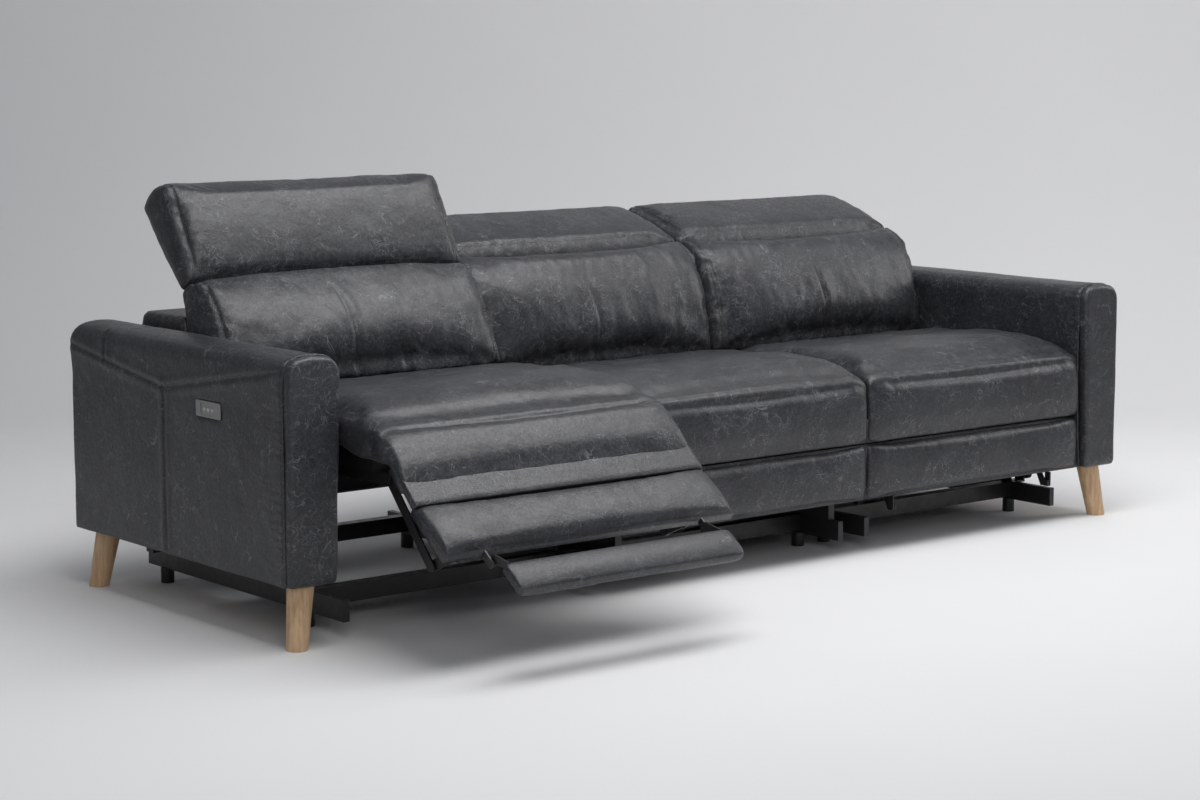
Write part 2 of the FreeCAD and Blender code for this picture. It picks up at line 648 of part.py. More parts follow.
def seat_frame(name):
    """Boards round the seat, a steel side plate each side and the actuator's cross tube."""
    wide = "unit_wide / 2 - lift_inset - plate_pitch"
    plate_inner = wide + " - plate_thick"
    side_outer = wide + " + board_thick"
    z = ("frame_bottom", "frame_top")
    front = box(name + "_front", ("- ( %s )" % side_outer, side_outer),
                ("frame_front", "frame_front + board_thick"), z)
    rear = box(name + "_rear", ("- ( %s )" % plate_inner, plate_inner),
               ("frame_rear - board_thick", "frame_rear"), z)
    runner = box(name + "_side", ("- ( %s )" % side_outer, "- ( %s )" % wide),
                 ("frame_front + board_thick", "frame_rear"), z)
    tube = rod_x(name + "_tube", "tube_radius", ("- ( %s )" % plate_inner, plate_inner),
                 "motor_at", "motor_high")
    return group(name, [front, rear, tube] + pair([runner, side_plate(name + "_plate")]))


def spring_path(x, start, stop, swing):
    """A zigzag of shallow arcs from the front board to the rear board."""
    count = 12
    step = (stop - start) / count
    level = S.frame_top - 8
    edges = []
    for index in range(count):
        low = start + index * step
        bulge = swing * (1 if index % 2 == 0 else -1)
        ends = (Vector(x, low, level), Vector(x, low + step, level))
        edges.append(Part.Arc(ends[0], Vector(x + bulge, low + step / 2, level), ends[1]).toShape())
    return Part.Wire(edges)


def seat_springs():
    """Five sinuous springs strung between the front and rear boards."""
    start = S.frame_front + S.board_thick
    stop = S.frame_rear - S.board_thick
    solids = []
    for index in range(5):
        x = (index - 2) * S.unit_wide / 7
        path = spring_path(x, start, stop, S.spring_swing)
        tangent = path.Edges[0].tangentAt(path.Edges[0].FirstParameter)
        ring = Part.Wire(Part.Circle(path.Vertexes[0].Point, tangent, S.spring_wire).toShape())
        wire = path.makePipeShell([ring], True, False)
        room = Part.makeBox(S.unit_wide, stop - start, 60, Vector(-HALF, start, S.frame_top - 40))
        solids.append(wire.common(room))
    return Part.makeCompound(solids)


def seat_cushion():
    """Seat pad with a crowned top; its front underside slopes back from the front seam."""
    low = S.frame_top + S.soft_gap
    front = S.seat_front + S.soft_gap
    corners = [(front, S.seat_seam), (front + 39, low), (S.seat_rear, low),
               (S.seat_rear, S.seat_seam - 4), (S.seat_rear - 210, S.seat_seam + 12),
               (front + 70, S.seat_seam + 14)]
    bows = [0, 0, 3, 4, S.seat_crown * 0.4, 6]
    return pillow_shape(corners, bows, HALF - S.end_gap)


def legrest_flap():
    """Front flap: thick under the seat's front seam, thin below."""
    bottom = S.panel_split + S.split_gap / 2
    face = S.panel_front
    tail = face + S.flap_tail_thick
    corners = [(face + 4, bottom), (tail, bottom), (tail, S.panel_split + 68),
               (face + 50, S.frame_top - 4), (S.seat_front, S.seat_seam), (face + 3, S.seat_seam - 24)]
    return pillow_shape(corners, [0, 0, 0, 0, 4, 5], HALF - S.end_gap, 6, 30)


def padded_board(front, thick, low, high, half_wide, bow):
    """A board with a padded face towards the front."""
    corners = [(front + bow, low), (front + thick, low), (front + thick, high), (front + bow, high)]
    return pillow_shape(corners, [0, 0, 0, bow], half_wide, 5, 26)


def legrest_board(name):
    """Lower front panel with its link brackets and the arms of the footrest hinge."""
    high = S.panel_split - S.split_gap / 2
    soft = padded_board(S.panel_front, S.board2_thick, S.panel_bottom, high, HALF - S.end_gap, 8)
    panel = feature(name + "_panel", soft)
    rear = S.panel_front + S.board2_thick
    reach = S.link_radius
    inset = S.lift_inset + 4 * S.plate_pitch
    bracket = flat_plate(name + "_bracket",
                         [(rear, BOARD_PIVOT[1] - 24), (rear, BOARD_PIVOT[1] + 24),
                          (BOARD_PIVOT[0] + reach, BOARD_PIVOT[1] + reach),
                          (BOARD_PIVOT[0] + reach, BOARD_PIVOT[1] - reach)], inset)
    shaft = pin(name + "_pin", BOARD_PIVOT, inset - S.plate_pitch - 0.5, inset,
                inset - S.plate_pitch - 0.3 - S.head_thick)
    arm_inset = S.footrest_inset + 7
    arm = flat_plate(name + "_arm",
                     [(FOOT_HINGE[0] - 8, S.panel_bottom), (FOOT_HINGE[0] + 8, S.panel_bottom),
                      (FOOT_HINGE[0] + 8, FOOT_HINGE[1] - 8), (FOOT_HINGE[0] - 8, FOOT_HINGE[1] - 8)],
                     arm_inset)
    arm_pin = pin(name + "_foot_pin", FOOT_HINGE, arm_inset + S.plate_thick,
                  arm_inset + S.plate_pitch + S.plate_thick + 0.5,
                  arm_inset + S.plate_pitch + S.plate_thick + 0.3)
    return group(name, [panel] + pair([joined(name + "_bracket_solid", [bracket, shaft]),
                                       joined(name + "_arm_solid", [arm, arm_pin])]))


def footrest_board(name):
    """Small padded board that folds up behind the legrest board on two hinge arms."""
    back = 2 * FOOT_HINGE[0] - S.panel_front
    front = back - 2
    low = S.panel_split - S.footrest_tuck - S.footrest_long
    high = S.panel_split - S.footrest_tuck
    thick = S.footrest_thick
    corners = [(front, low), (front + thick - 6, low), (front + thick - 6, high), (front, high)]
    soft = pillow_shape(corners, [0, 6, 0, 0], HALF - S.footrest_inset, 5, 22)
    panel = feature(name + "_panel", soft)
    inset = S.footrest_inset + 7 + S.plate_pitch
    arm = flat_plate(name + "_arm",
                     [(FOOT_HINGE[0] - 8, FOOT_HINGE[1] - 8), (FOOT_HINGE[0] + 16, FOOT_HINGE[1] - 8),
                      (front + 20, low), (front + 4, low),
                      (FOOT_HINGE[0] + 4, FOOT_HINGE[1] + 8), (FOOT_HINGE[0] - 8, FOOT_HINGE[1] + 6)],
                     inset, [FOOT_HINGE])
    return group(name, [panel] + pair([arm]))


def rear_ottoman_links(name):
    """Two links on the seat plates, joined by a torque tube that carries the crank."""
    inset = S.lift_inset + 2 * S.plate_pitch
    arm = link(name + "_link", OTTOMAN_PIVOT, OTTOMAN_ELBOW, inset, True, False)
    elbow = pin(name + "_elbow", OTTOMAN_ELBOW, inset + S.plate_thick,
                inset + S.plate_pitch + S.plate_thick + 0.5,
                inset + S.plate_pitch + S.plate_thick + 0.3)
    half = "unit_wide / 2 - lift_inset - 2 * plate_pitch - plate_thick"
    tube = rod_x(name + "_tube", "tube_radius - 1", ("- ( %s )" % half, half),
                 "%g" % OTTOMAN_PIVOT[0], "%g" % OTTOMAN_PIVOT[1])
    crank_end = crank_pin(0)
    beside_rod = HALF + S.rod_radius + 2
    crank = link(name + "_crank", OTTOMAN_PIVOT, crank_end, beside_rod, False, True)
    shaft = joined(name + "_shaft", [tube, crank])
    return group(name, [shaft] + pair([joined(name + "_arm", [arm, elbow])]))


def front_ottoman_links(name):
    inset = S.lift_inset + 3 * S.plate_pitch
    return group(name, pair([link(name + "_link", OTTOMAN_ELBOW, BOARD_PIVOT, inset)]))


def lift_links(name, start, stop):
    return group(name, pair([link(name + "_link", start, stop, S.lift_inset)]))


def actuator_motor(name):
    """Gear motor housing and rail, hung on the seat's cross tube."""
    body = doc.addObject("PartDesign::Body", name)
    side = sketch_on(body, "YZ_Plane", name + "_side", -S.motor_wide / 2)
    half = S.motor_high_side / 2
    lug = S.tube_radius + 6
    draw_polygon(side, [(-lug, -lug), (S.motor_long, -half), (S.motor_long, half), (-lug, lug)])
    draw_circle(side, 0, 0, S.tube_radius + S.pin_play, "tube_radius + pin_play")
    pad(body, side, "motor_wide")
    bore = sketch_on(body, "XZ_Plane", name + "_bore", -S.motor_long)
    draw_circle(bore, 0, 0, S.rod_radius + S.rod_play, "rod_radius + rod_play")
    cut = pocket(body, bore, "motor_long - tube_radius - 12")
    cut.Reversed = True
    return body


def actuator_rod(name, reach):
    """Push rod that slides in the housing and ends beside the crank."""
    body = doc.addObject("PartDesign::Body", name)
    sketch = sketch_on(body, "XZ_Plane", name + "_round", -reach)
    draw_circle(sketch, 0, 0, S.rod_radius, "rod_radius")
    shaft = body.newObject("PartDesign::Pad", "Pad")
    shaft.Profile = sketch
    shaft.Length = reach - S.tube_radius - 70
    return body


# Back and headrest

def back_shell():
    """Outer back: rear, top and sides round a hollow that holds the back frame."""
    rear, front, bottom = S.shell_rear, S.shell_front, S.shell_bottom
    crest = S.head_pivot_high - S.shell_drop
    corners = [(front, bottom), (rear, bottom), (rear, crest), (rear - 25, crest + 42),
               (front + 21, crest + 8), (front, crest)]
    half = HALF - S.shell_side_gap
    outer = pillow_shape(corners, [0, 3, 3, 0, 0, 0], half, 6, 30)
    wall = S.shell_wall
    room = half - 2 * wall
    hollow = Part.makeBox(2 * room, rear - front - 2 * wall + 5, crest - bottom - 3 * wall,
                          Vector(-room, front - 5, bottom + wall))
    return outer.cut(hollow)


def back_frame(name):
    """Steel uprights on the back's pivots, cross rails and the fixed headrest leaves."""
    inset = S.lift_inset + 2 * S.plate_pitch
    reach = S.link_radius
    top = S.head_pivot_high - S.shell_drop - 40
    front = S.shell_front
    upright = flat_plate(name + "_upright",
                         [(BACK_PIVOT[0] - reach, BACK_PIVOT[1] - reach),
                          (front + 40, BACK_PIVOT[1] - 50), (front + 40, top), (front, top),
                          (front, BACK_PIVOT[1] + 50), (front - 36, BACK_PIVOT[1] + reach),
                          (BACK_PIVOT[0] - reach, BACK_PIVOT[1] + reach)], inset, [BACK_PIVOT])
    wide = "unit_wide / 2 - shell_side_gap - 2 * shell_wall - soft_gap"
    rails = []
    for index, low in enumerate((BACK_PIVOT[1] + 20, top - 30)):
        rails.append(box("%s_rail%d" % (name, index), ("- ( %s )" % wide, wide),
                         ("shell_front + 40", "shell_front + 62"), ("%g" % low, "%g" % (low + 28))))
    leaf = flat_plate(name + "_leaf",
                      [(front - 4, HEAD_PIVOT[1] - 30), (front - 4, HEAD_PIVOT[1] - 8),
                       (HEAD_PIVOT[0] - 8, HEAD_PIVOT[1] + 8), (HEAD_PIVOT[0] + 8, HEAD_PIVOT[1] + 8),
                       (front + 14, HEAD_PIVOT[1] - 39), (front + 2, HEAD_PIVOT[1] - 43)],
                      S.head_leaf_inset)
    leaf_pin = pin(name + "_leaf_pin", HEAD_PIVOT, S.head_leaf_inset + S.plate_thick,
                   S.head_leaf_inset + S.plate_pitch + S.plate_thick + 0.5,
                   S.head_leaf_inset + S.plate_pitch + S.plate_thick + 0.3)
    return group(name, rails + pair([upright, joined(name + "_leaf_solid", [leaf, leaf_pin])]))


def back_cushion():
    """Back pad: leans back with height and slopes away under the headrest."""
    front, low = S.cushion_front, S.cushion_bottom
    corners = [(front, low), (front + 23, low + 148), (front + 66, low + 230),
               (front + 84, low + 236), (S.shell_front - 9, S.head_pivot_high - 12),
               (S.shell_front - S.soft_gap, low + 130), (S.shell_front - 40, low)]
    bows = [9, 6, 2, 0, 0, 0, 0]
    return pillow_shape(corners, bows, HALF - S.shell_side_gap, 9, 46)


def headrest_pad():
    """Headrest folded flat behind the top of the back, with slots for its hinges."""
    y, z = HEAD_PIVOT
    corners = [(y - 1, z + 11), (y + 109, z + 7), (y + 245, z + 22), (y + 243, z + 88),
               (y + 213, z + 126), (y - 3, z + 57)]
    pad_shape = pillow_shape(corners, [0, 0, 5, 4, 9, 4], HALF - S.shell_side_gap, 10, 46)
    inset = S.head_leaf_inset
    for side in (-1, 1):
        start = inset - HALF - 3 if side < 0 else HALF - inset - 2 * S.plate_pitch - 6
        knuckle = Part.makeCylinder(17, 2 * S.plate_pitch + 9, Vector(start, y, z), Vector(1, 0, 0))
        pad_shape = pad_shape.cut(knuckle)
        leaf_x = HALF - inset - S.plate_pitch - S.plate_thick
        slot_x = leaf_x - 0.3 if side > 0 else -leaf_x - S.plate_thick - 0.3
        slot = Part.makeBox(S.plate_thick + 0.6, S.head_leaf_long + 13, 2 * S.link_radius + 2,
                            Vector(slot_x, 0, -S.link_radius - 1))
        slot.Placement = Placement(Vector(0, y, z), Rotation(Vector(1, 0, 0), HEAD_LEAF_ANGLE))
        pad_shape = pad_shape.cut(slot)
    return pad_shape


def headrest_brackets(name):
    """Bright hinge leaves that carry the headrest on the back's pins."""
    angle = math.radians(HEAD_LEAF_ANGLE)
    stop = (HEAD_PIVOT[0] + S.head_leaf_long * math.cos(angle),
            HEAD_PIVOT[1] + S.head_leaf_long * math.sin(angle))
    inset = S.head_leaf_inset + S.plate_pitch
    return group(name, pair([link(name + "_leaf", HEAD_PIVOT, stop, inset, True, False)]))


def build_back(word, add):
    add(back_frame(word + "_back_frame"), "back_frame", "back")
    add(feature(word + "_back_shell", back_shell()), "back_shell", "back")
    add(feature(word + "_back_cushion", back_cushion()), "back_cushion", "back")
    add(feature(word + "_headrest_pad", headrest_pad()), "headrest_pad", "headrest")
    add(headrest_brackets(word + "_headrest_brackets"), "headrest_brackets", "headrest")


def adder(word, unit, pose):
    """Register a unit's pieces: closed shapes moved to the unit's place and pose."""
    shift = Placement(Vector(unit * S.unit_wide, 0, 0), Rotation())

    def add(piece, node, body):
        keep(piece, "%s_%s" % (word, node), "%s_%s" % (word, body))
        piece.Placement = shift * pose[body] * piece.Placement
        return piece
    return add


def build_recliner(word, unit, pose):
    add = adder(word, unit, pose)
    name = word + "_"
    add(seat_frame(name + "seat_frame"), "seat_frame", "seat")
    add(feature(name + "seat_springs", seat_springs()), "seat_springs", "seat")
    add(feature(name + "seat_cushion", seat_cushion()), "seat_cushion", "seat")
    add(feature(name + "legrest_flap", legrest_flap()), "legrest_flap", "flap")
    add(legrest_board(name + "legrest_board"), "legrest_board", "legrest")
    add(footrest_board(name + "footrest_board"), "footrest_board", "footrest")
    add(lift_links(name + "front_lift_links", LIFT_FRONT, SEAT_FRONT_PIVOT),
        "front_lift_links", "front_lift")
    add(lift_links(name + "rear_lift_links", LIFT_REAR, SEAT_REAR_PIVOT),
        "rear_lift_links", "rear_lift")
    add(rear_ottoman_links(name + "rear_ottoman_links"), "rear_ottoman_links", "rear_ottoman")
    add(front_ottoman_links(name + "front_ottoman_links"), "front_ottoman_links", "front_ottoman")
    motor = actuator_motor(name + "actuator_motor")
    closed_pin = crank_pin(0)
    reach = span(MOTOR_PIVOT, closed_pin)
    rod = actuator_rod(name + "actuator_rod", reach)
    lean = Rotation(Vector(1, 0, 0), angle_of(MOTOR_PIVOT, closed_pin))
    aim = Placement(Vector(0, *MOTOR_PIVOT), lean)
    motor.Placement = aim
    rod.Placement = aim
    add(motor, "actuator_motor", "motor")
    add(rod, "actuator_rod", "rod")
    build_back(word, add)


def build_middle():
    add = adder("middle", 0, unit_pose(0, 0, 0, 0))
    low = "rail_lift + rail_high"
    outer = "unit_wide / 2 - rail_inset"
    inner = outer + " - board_thick"
    z = (low, "frame_top")
    runner = box("middle_runner", ("- ( %s )" % outer, "- ( %s )" % inner),
                 ("frame_front + board_thick", "frame_rear"), z)
    members = pair([runner])
    for index, at in enumerate(("frame_front", "frame_rear - board_thick")):
        half = outer if index == 0 else inner
        members.append(box("middle_cross%d" % index, ("- ( %s )" % half, half),
                           (at, at + " + board_thick"), ("panel_bottom + 10", "frame_top")))
    reach = S.link_radius
    inset = S.lift_inset + S.plate_pitch
    ear = flat_plate("middle_ear",
                     [(S.frame_rear - S.board_thick, S.frame_top), (S.frame_rear, S.frame_top),
                      (BACK_PIVOT[0] + reach + 3, BACK_PIVOT[1] + reach),
                      (BACK_PIVOT[0] - reach - 3, BACK_PIVOT[1] + reach),
                      (BACK_PIVOT[0] - reach - 3, BACK_PIVOT[1] - reach)], inset)
    shaft = pin("middle_ear_pin", BACK_PIVOT, inset + S.plate_thick,
                inset + S.plate_pitch + S.plate_thick + 0.5,
                inset + S.plate_pitch + S.plate_thick + 0.3)
    members += pair([joined("middle_ear_solid", [ear, shaft])])
    add(group("middle_seat_frame", members), "seat_frame", "root")
    add(feature("middle_seat_cushion", seat_cushion()), "seat_cushion", "root")
    back = S.frame_front - S.panel_front
    split = (S.panel_split - S.split_gap / 2, S.panel_split + S.split_gap / 2)
    lower = padded_board(S.panel_front, back - S.soft_gap, S.panel_bottom, split[0],
                         HALF - S.end_gap, 8)
    front = S.panel_front
    behind = front + back - S.soft_gap
    corners = [(front + 4, split[1]), (behind, split[1]), (behind, S.frame_top - 18),
               (front + 50, S.frame_top - 4), (S.seat_front, S.seat_seam),
               (front + 3, S.seat_seam - 24)]
    upper = pillow_shape(corners, [0, 0, 0, 0, 4, 5], HALF - S.end_gap, 6, 30)
    add(feature("middle_front_panel", Part.makeCompound([upper, lower])), "front_panel", "root")
    build_back("middle", add)


def centre_on_floor():
    """Move every piece so that the bounding box is centred on x = 0 and y = 0."""
    whole = FreeCAD.BoundBox()
    for _, piece, _ in pieces:
        whole.add(piece.Shape.BoundBox)
    shift = Placement(Vector(0, -whole.Center.y, 0), Rotation())
    for _, piece, _ in pieces:
        piece.Placement = shift * piece.Placement
    print("shift in y %.4f" % -whole.Center.y)


def check_and_write():
    doc.recompute()
    for item in doc.Objects:
        if "Invalid" in item.State or "Error" in item.State:
            raise RuntimeError("%s failed: %s" % (item.Label, item.State))
    os.makedirs("parts", exist_ok=True)
    for label, piece, _ in pieces:
        shape = piece.Shape
        if shape.isNull() or not shape.isValid() or not shape.Solids:
            raise RuntimeError("%s has no valid shape" % label)
        shape.exportStep("parts/%s.step" % label)
    print("%d nodes" % len(pieces))


def main():
    build_arms()
    build_base()
    build_middle()
    build_recliner("left", -1, unit_pose(PHOTO_LIFT, 1, PHOTO_BACK, HEADREST_RAISE))
    build_recliner("right", 1, unit_pose(0, 0, 0, 0))
    doc.recompute()
    centre_on_floor()
    check_and_write()


main()
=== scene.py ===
"""Looks of a three-seat reclining sofa in slate-grey pull-up leather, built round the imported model."""

import json
import math

import bmesh
import bpy
import numpy as np
from mathutils import Matrix, Vector, noise
from mathutils.bvhtree import BVHTree


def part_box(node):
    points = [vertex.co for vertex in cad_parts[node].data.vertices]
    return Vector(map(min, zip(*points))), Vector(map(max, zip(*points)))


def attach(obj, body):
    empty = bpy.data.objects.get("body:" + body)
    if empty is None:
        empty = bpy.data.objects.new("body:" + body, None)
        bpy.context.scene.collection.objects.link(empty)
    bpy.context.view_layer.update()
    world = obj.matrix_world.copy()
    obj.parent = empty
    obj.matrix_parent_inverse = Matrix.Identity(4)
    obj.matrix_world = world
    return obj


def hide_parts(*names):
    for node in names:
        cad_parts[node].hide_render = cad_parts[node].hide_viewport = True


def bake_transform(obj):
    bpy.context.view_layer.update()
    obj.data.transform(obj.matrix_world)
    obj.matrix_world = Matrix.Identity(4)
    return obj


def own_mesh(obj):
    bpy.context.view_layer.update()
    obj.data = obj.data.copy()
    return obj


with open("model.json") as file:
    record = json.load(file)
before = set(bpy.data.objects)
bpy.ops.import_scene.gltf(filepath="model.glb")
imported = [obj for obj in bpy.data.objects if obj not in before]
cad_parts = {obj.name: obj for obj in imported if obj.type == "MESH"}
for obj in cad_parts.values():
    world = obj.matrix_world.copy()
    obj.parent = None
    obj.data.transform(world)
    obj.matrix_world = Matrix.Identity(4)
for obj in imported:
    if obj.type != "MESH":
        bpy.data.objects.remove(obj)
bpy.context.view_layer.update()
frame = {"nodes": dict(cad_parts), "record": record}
SCENE = bpy.context.scene
NODES = frame["nodes"]

# Distances in metres. FRONT is where the arms' front faces stand in the row frame.
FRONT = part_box("left_arm_front_panel")[0].y
UNIT = 0.734
HALF = UNIT / 2
ARM_INNER = 1.5 * UNIT
ARM_OUTER = ARM_INNER + 0.124
PAD_HALF = HALF - 0.0015
SEAM_X = HALF - 0.024
BACK_FOOT = 0.424
VOXEL = 0.008
FINE_VOXEL = 0.006

# Pivots on the closed seat, as (y behind the arm's front, z), and the left seat's swing in the photo
LIFT_FRONT = (0.210, 0.095)
SEAT_PIVOT = (0.31833, 0.23875)
FLAP_PIVOT = (0.022, 0.420)
OTTOMAN_PIVOT = (0.053, 0.303)
OTTOMAN_ELBOW = (0.1195, 0.1091)
BOARD_PIVOT = (0.0802, 0.1745)
FOOT_HINGE = (0.030, 0.1021)
BACK_PIVOT = (0.590, 0.400)
HEAD_PIVOT = (0.694, 0.645)
OPEN_SEAT = {"lift": 40, "legrest": 1, "back": 13.5, "headrest": 58}
CLOSED_SEAT = {"lift": 0, "legrest": 0, "back": 0, "headrest": 0}

# Degrees each link turns between folded and out
REAR_LINK_SWING = -60.68
FRONT_LINK_SWING = 95.86
LEGREST_SWING = -88.18
FOOTREST_SWING = -180
FLAP_SWING = -44.5

# Where a cover starts and ends its bend from one body to the next, as closed (y, z) points
FLAP_BEND = ((0.092, 0.420), (0.022, 0.350))
HEAD_BEND = ((0.630, 0.655), (0.688, 0.700))

# The camera that the photo was taken with
CAMERA_PLACE = (-4.0347, -4.4272 + FRONT, 1.2333)
CAMERA_DOWN = 7.933
CAMERA_ASIDE = -39.013
CAMERA_LENS = 81.239


# Where the pieces of a seat unit are
def turned(point, degrees):
    """A rotation about the X direction through a (y, z) point."""
    centre = Matrix.Translation((0, point[0], point[1]))
    return centre @ Matrix.Rotation(math.radians(degrees), 4, "X") @ centre.inverted()


def unit_pose(unit, state):
    """The matrices that take closed shapes of the middle unit to this unit's bodies."""
    out = state["legrest"]
    place = Matrix.Translation((unit * UNIT, FRONT, 0))
    seat = place @ turned(LIFT_FRONT, state["lift"]) @ turned(SEAT_PIVOT, -state["lift"])
    rear_link = seat @ turned(OTTOMAN_PIVOT, REAR_LINK_SWING * out)
    front_link = rear_link @ turned(OTTOMAN_ELBOW, FRONT_LINK_SWING * out)
    legrest = front_link @ turned(BOARD_PIVOT, LEGREST_SWING * out)
    back = seat @ turned(BACK_PIVOT, -state["back"])
    return {
        "seat": seat,
        "flap": seat @ turned(FLAP_PIVOT, FLAP_SWING * out),
        "legrest": legrest,
        "footrest": legrest @ turned(FOOT_HINGE, FOOTREST_SWING * out),
        "back": back,
        "headrest": back @ turned(HEAD_PIVOT, state["headrest"]),
    }


POSES = {
    "left": unit_pose(-1, OPEN_SEAT),
    "middle": unit_pose(0, CLOSED_SEAT),
    "right": unit_pose(1, CLOSED_SEAT),
}


# Mesh helpers
def coords(mesh):
    flat = np.empty(len(mesh.vertices) * 3)
    mesh.vertices.foreach_get("co", flat)
    return flat.reshape(-1, 3)


def set_coords(mesh, points):
    mesh.vertices.foreach_set("co", np.ascontiguousarray(points).ravel())
    mesh.update()


def normals(mesh):
    flat = np.empty(len(mesh.vertices) * 3)
    mesh.vertex_normals.foreach_get("vector", flat)
    return flat.reshape(-1, 3)


def new_object(name, mesh):
    piece = bpy.data.objects.new(name, mesh)
    SCENE.collection.objects.link(piece)
    return piece


def join_mesh(piece, *meshes):
    """Add other meshes to a piece as loose parts."""
    built = bmesh.new()
    built.from_mesh(piece.data)
    for mesh in meshes:
        built.from_mesh(mesh)
    built.to_mesh(piece.data)
    built.free()


def apply_modifiers(piece):
    graph = bpy.context.evaluated_depsgraph_get()
    mesh = bpy.data.meshes.new_from_object(piece.evaluated_get(graph))
    piece.modifiers.clear()
    piece.data = mesh


def shade_smooth(piece):
    piece.data.polygons.foreach_set("use_smooth", [True] * len(piece.data.polygons))


def parts_of(node):
    """The separate solids of a CAD node as meshes, the one with the largest box first."""
    built = bmesh.new()
    built.from_mesh(NODES[node].data)
    bmesh.ops.remove_doubles(built, verts=built.verts, dist=1e-6)
    built.verts.ensure_lookup_table()
    seen = set()
    groups = []
    for start in built.verts:
        if start.index in seen:
            continue
        seen.add(start.index)
        found, queue = [], [start]
        while queue:
            vert = queue.pop()
            found.append(vert.index)
            for edge in vert.link_edges:
                other = edge.other_vert(vert)
                if other.index not in seen:
                    seen.add(other.index)
                    queue.append(other)
        groups.append(found)
    meshes = []
    for found in groups:
        index = {old: new for new, old in enumerate(found)}
        points = [built.verts[i].co[:] for i in found]
        faces = [[index[v.index] for v in f.verts] for f in built.faces if f.verts[0].index in index]
        mesh = bpy.data.meshes.new(node + "_part")
        mesh.from_pydata(points, [], faces)
        meshes.append(mesh)
    built.free()
    meshes.sort(key=lambda m: -float(np.prod(np.ptp(coords(m), axis=0))))
    return meshes


def remesh(piece, size):
    voxel = piece.modifiers.new("voxel", "REMESH")
    voxel.mode = "VOXEL"
    voxel.voxel_size = size
    apply_modifiers(piece)


def smooth(piece, factor, repeat):
    step = piece.modifiers.new("smooth", "SMOOTH")
    step.factor = factor
    step.iterations = repeat
    apply_modifiers(piece)


def subdivide(piece):
    step = piece.modifiers.new("subdivision", "SUBSURF")
    step.levels = 1
    step.render_levels = 1
    apply_modifiers(piece)


def stepped(value, low, high):
    """0 below low, 1 above high, smooth between."""
    part = np.clip((value - low) / (high - low), 0, 1)
    return part * part * (3 - 2 * part)


def near(value, at, width):
    """1 at a place, falling to 0 a few widths away."""
    return np.exp(-(((value - at) / width) ** 2))


def waves(points, scale, seed, stretch=(1, 1, 1)):
    """Smooth random values in -1..1 at each point."""
    factor = np.array(stretch) / scale
    offset = Vector((seed * 7.31, seed * 3.17, seed * 5.73))
    return np.array([noise.noise(Vector(p) + offset) for p in points * factor])


def swell(piece, pressure, cap, frames=14):
    """Blow the cover up a little with cloth, with no vertex moving further than its cap."""
    start = coords(piece.data).copy()
    limit = cap(start)
    cloth = piece.modifiers.new("cloth", "CLOTH")
    settings = cloth.settings
    settings.quality = 3
    settings.mass = 0.3
    settings.tension_stiffness = 12
    settings.compression_stiffness = 12
    settings.shear_stiffness = 6
    settings.bending_stiffness = 0.6
    settings.use_pressure = True
    settings.uniform_pressure_force = pressure
    settings.effector_weights.gravity = 0
    cloth.collision_settings.use_collision = False
    cloth.point_cache.frame_start = 1
    cloth.point_cache.frame_end = frames
    for number in range(1, frames + 1):
        SCENE.frame_set(number)
    apply_modifiers(piece)
    SCENE.frame_set(1)
    moved = coords(piece.data) - start
    length = np.linalg.norm(moved, axis=1)
    share = np.minimum(1, limit / np.maximum(length, 1e-9))
    set_coords(piece.data, start + moved * share[:, None])


def displace(piece, amount):
    set_coords(piece.data, coords(piece.data) + normals(piece.data) * amount[:, None])


# Materials
def shader(name, colour, rough, metal=0.0):
    mat = bpy.data.materials.new(name)
    mat.use_nodes = True
    bsdf = mat.node_tree.nodes["Principled BSDF"]
    bsdf.inputs["Base Color"].default_value = (*colour, 1)
    bsdf.inputs["Roughness"].default_value = rough
    bsdf.inputs["Metallic"].default_value = metal
    return mat, mat.node_tree.nodes, mat.node_tree.links, bsdf


def place_nodes(nodes, links, stretch=(1, 1, 1)):
    where = nodes.new("ShaderNodeTexCoord")
    mapping = nodes.new("ShaderNodeMapping")
    mapping.inputs["Scale"].default_value = stretch
    links.new(where.outputs["Object"], mapping.inputs["Vector"])
    return mapping.outputs["Vector"]


def noise_node(nodes, links, vector, scale, detail=3.0, rough=0.55):
    node = nodes.new("ShaderNodeTexNoise")
    node.inputs["Scale"].default_value = scale
    node.inputs["Detail"].default_value = detail
    node.inputs["Roughness"].default_value = rough
    links.new(vector, node.inputs["Vector"])
    return node


def mapped(nodes, links, value, low, high, to_low, to_high):
    node = nodes.new("ShaderNodeMapRange")
    node.interpolation_type = "SMOOTHSTEP"
    for key, number in (("From Min", low), ("From Max", high), ("To Min", to_low), ("To Max", to_high)):
        node.inputs[key].default_value = number
    links.new(value, node.inputs["Value"])
    return node.outputs["Result"]


def math_node(nodes, links, kind, one, two):
    node = nodes.new("ShaderNodeMath")
    node.operation = kind
    for index, item in enumerate((one, two)):
        if isinstance(item, (int, float)):
            node.inputs[index].default_value = item
        else:
            links.new(item, node.inputs[index])
    return node.outputs[0]


def colour_mix(nodes, links, factor, one, two):
    node = nodes.new("ShaderNodeMix")
    node.data_type = "RGBA"
    links.new(factor, node.inputs["Factor"])
    for key, item in (("A", one), ("B", two)):
        socket = [s for s in node.inputs if s.name == key and s.type == "RGBA"][0]
        if isinstance(item, tuple):
            socket.default_value = (*item, 1)
        else:
            links.new(item, socket)
    return [s for s in node.outputs if s.type == "RGBA"][0]


def bump(nodes, links, height, strength, distance, under=None):
    node = nodes.new("ShaderNodeBump")
    node.inputs["Strength"].default_value = strength
    node.inputs["Distance"].default_value = distance
    links.new(height, node.inputs["Height"])
    if under:
        links.new(under, node.inputs["Normal"])
    return node.outputs["Normal"]


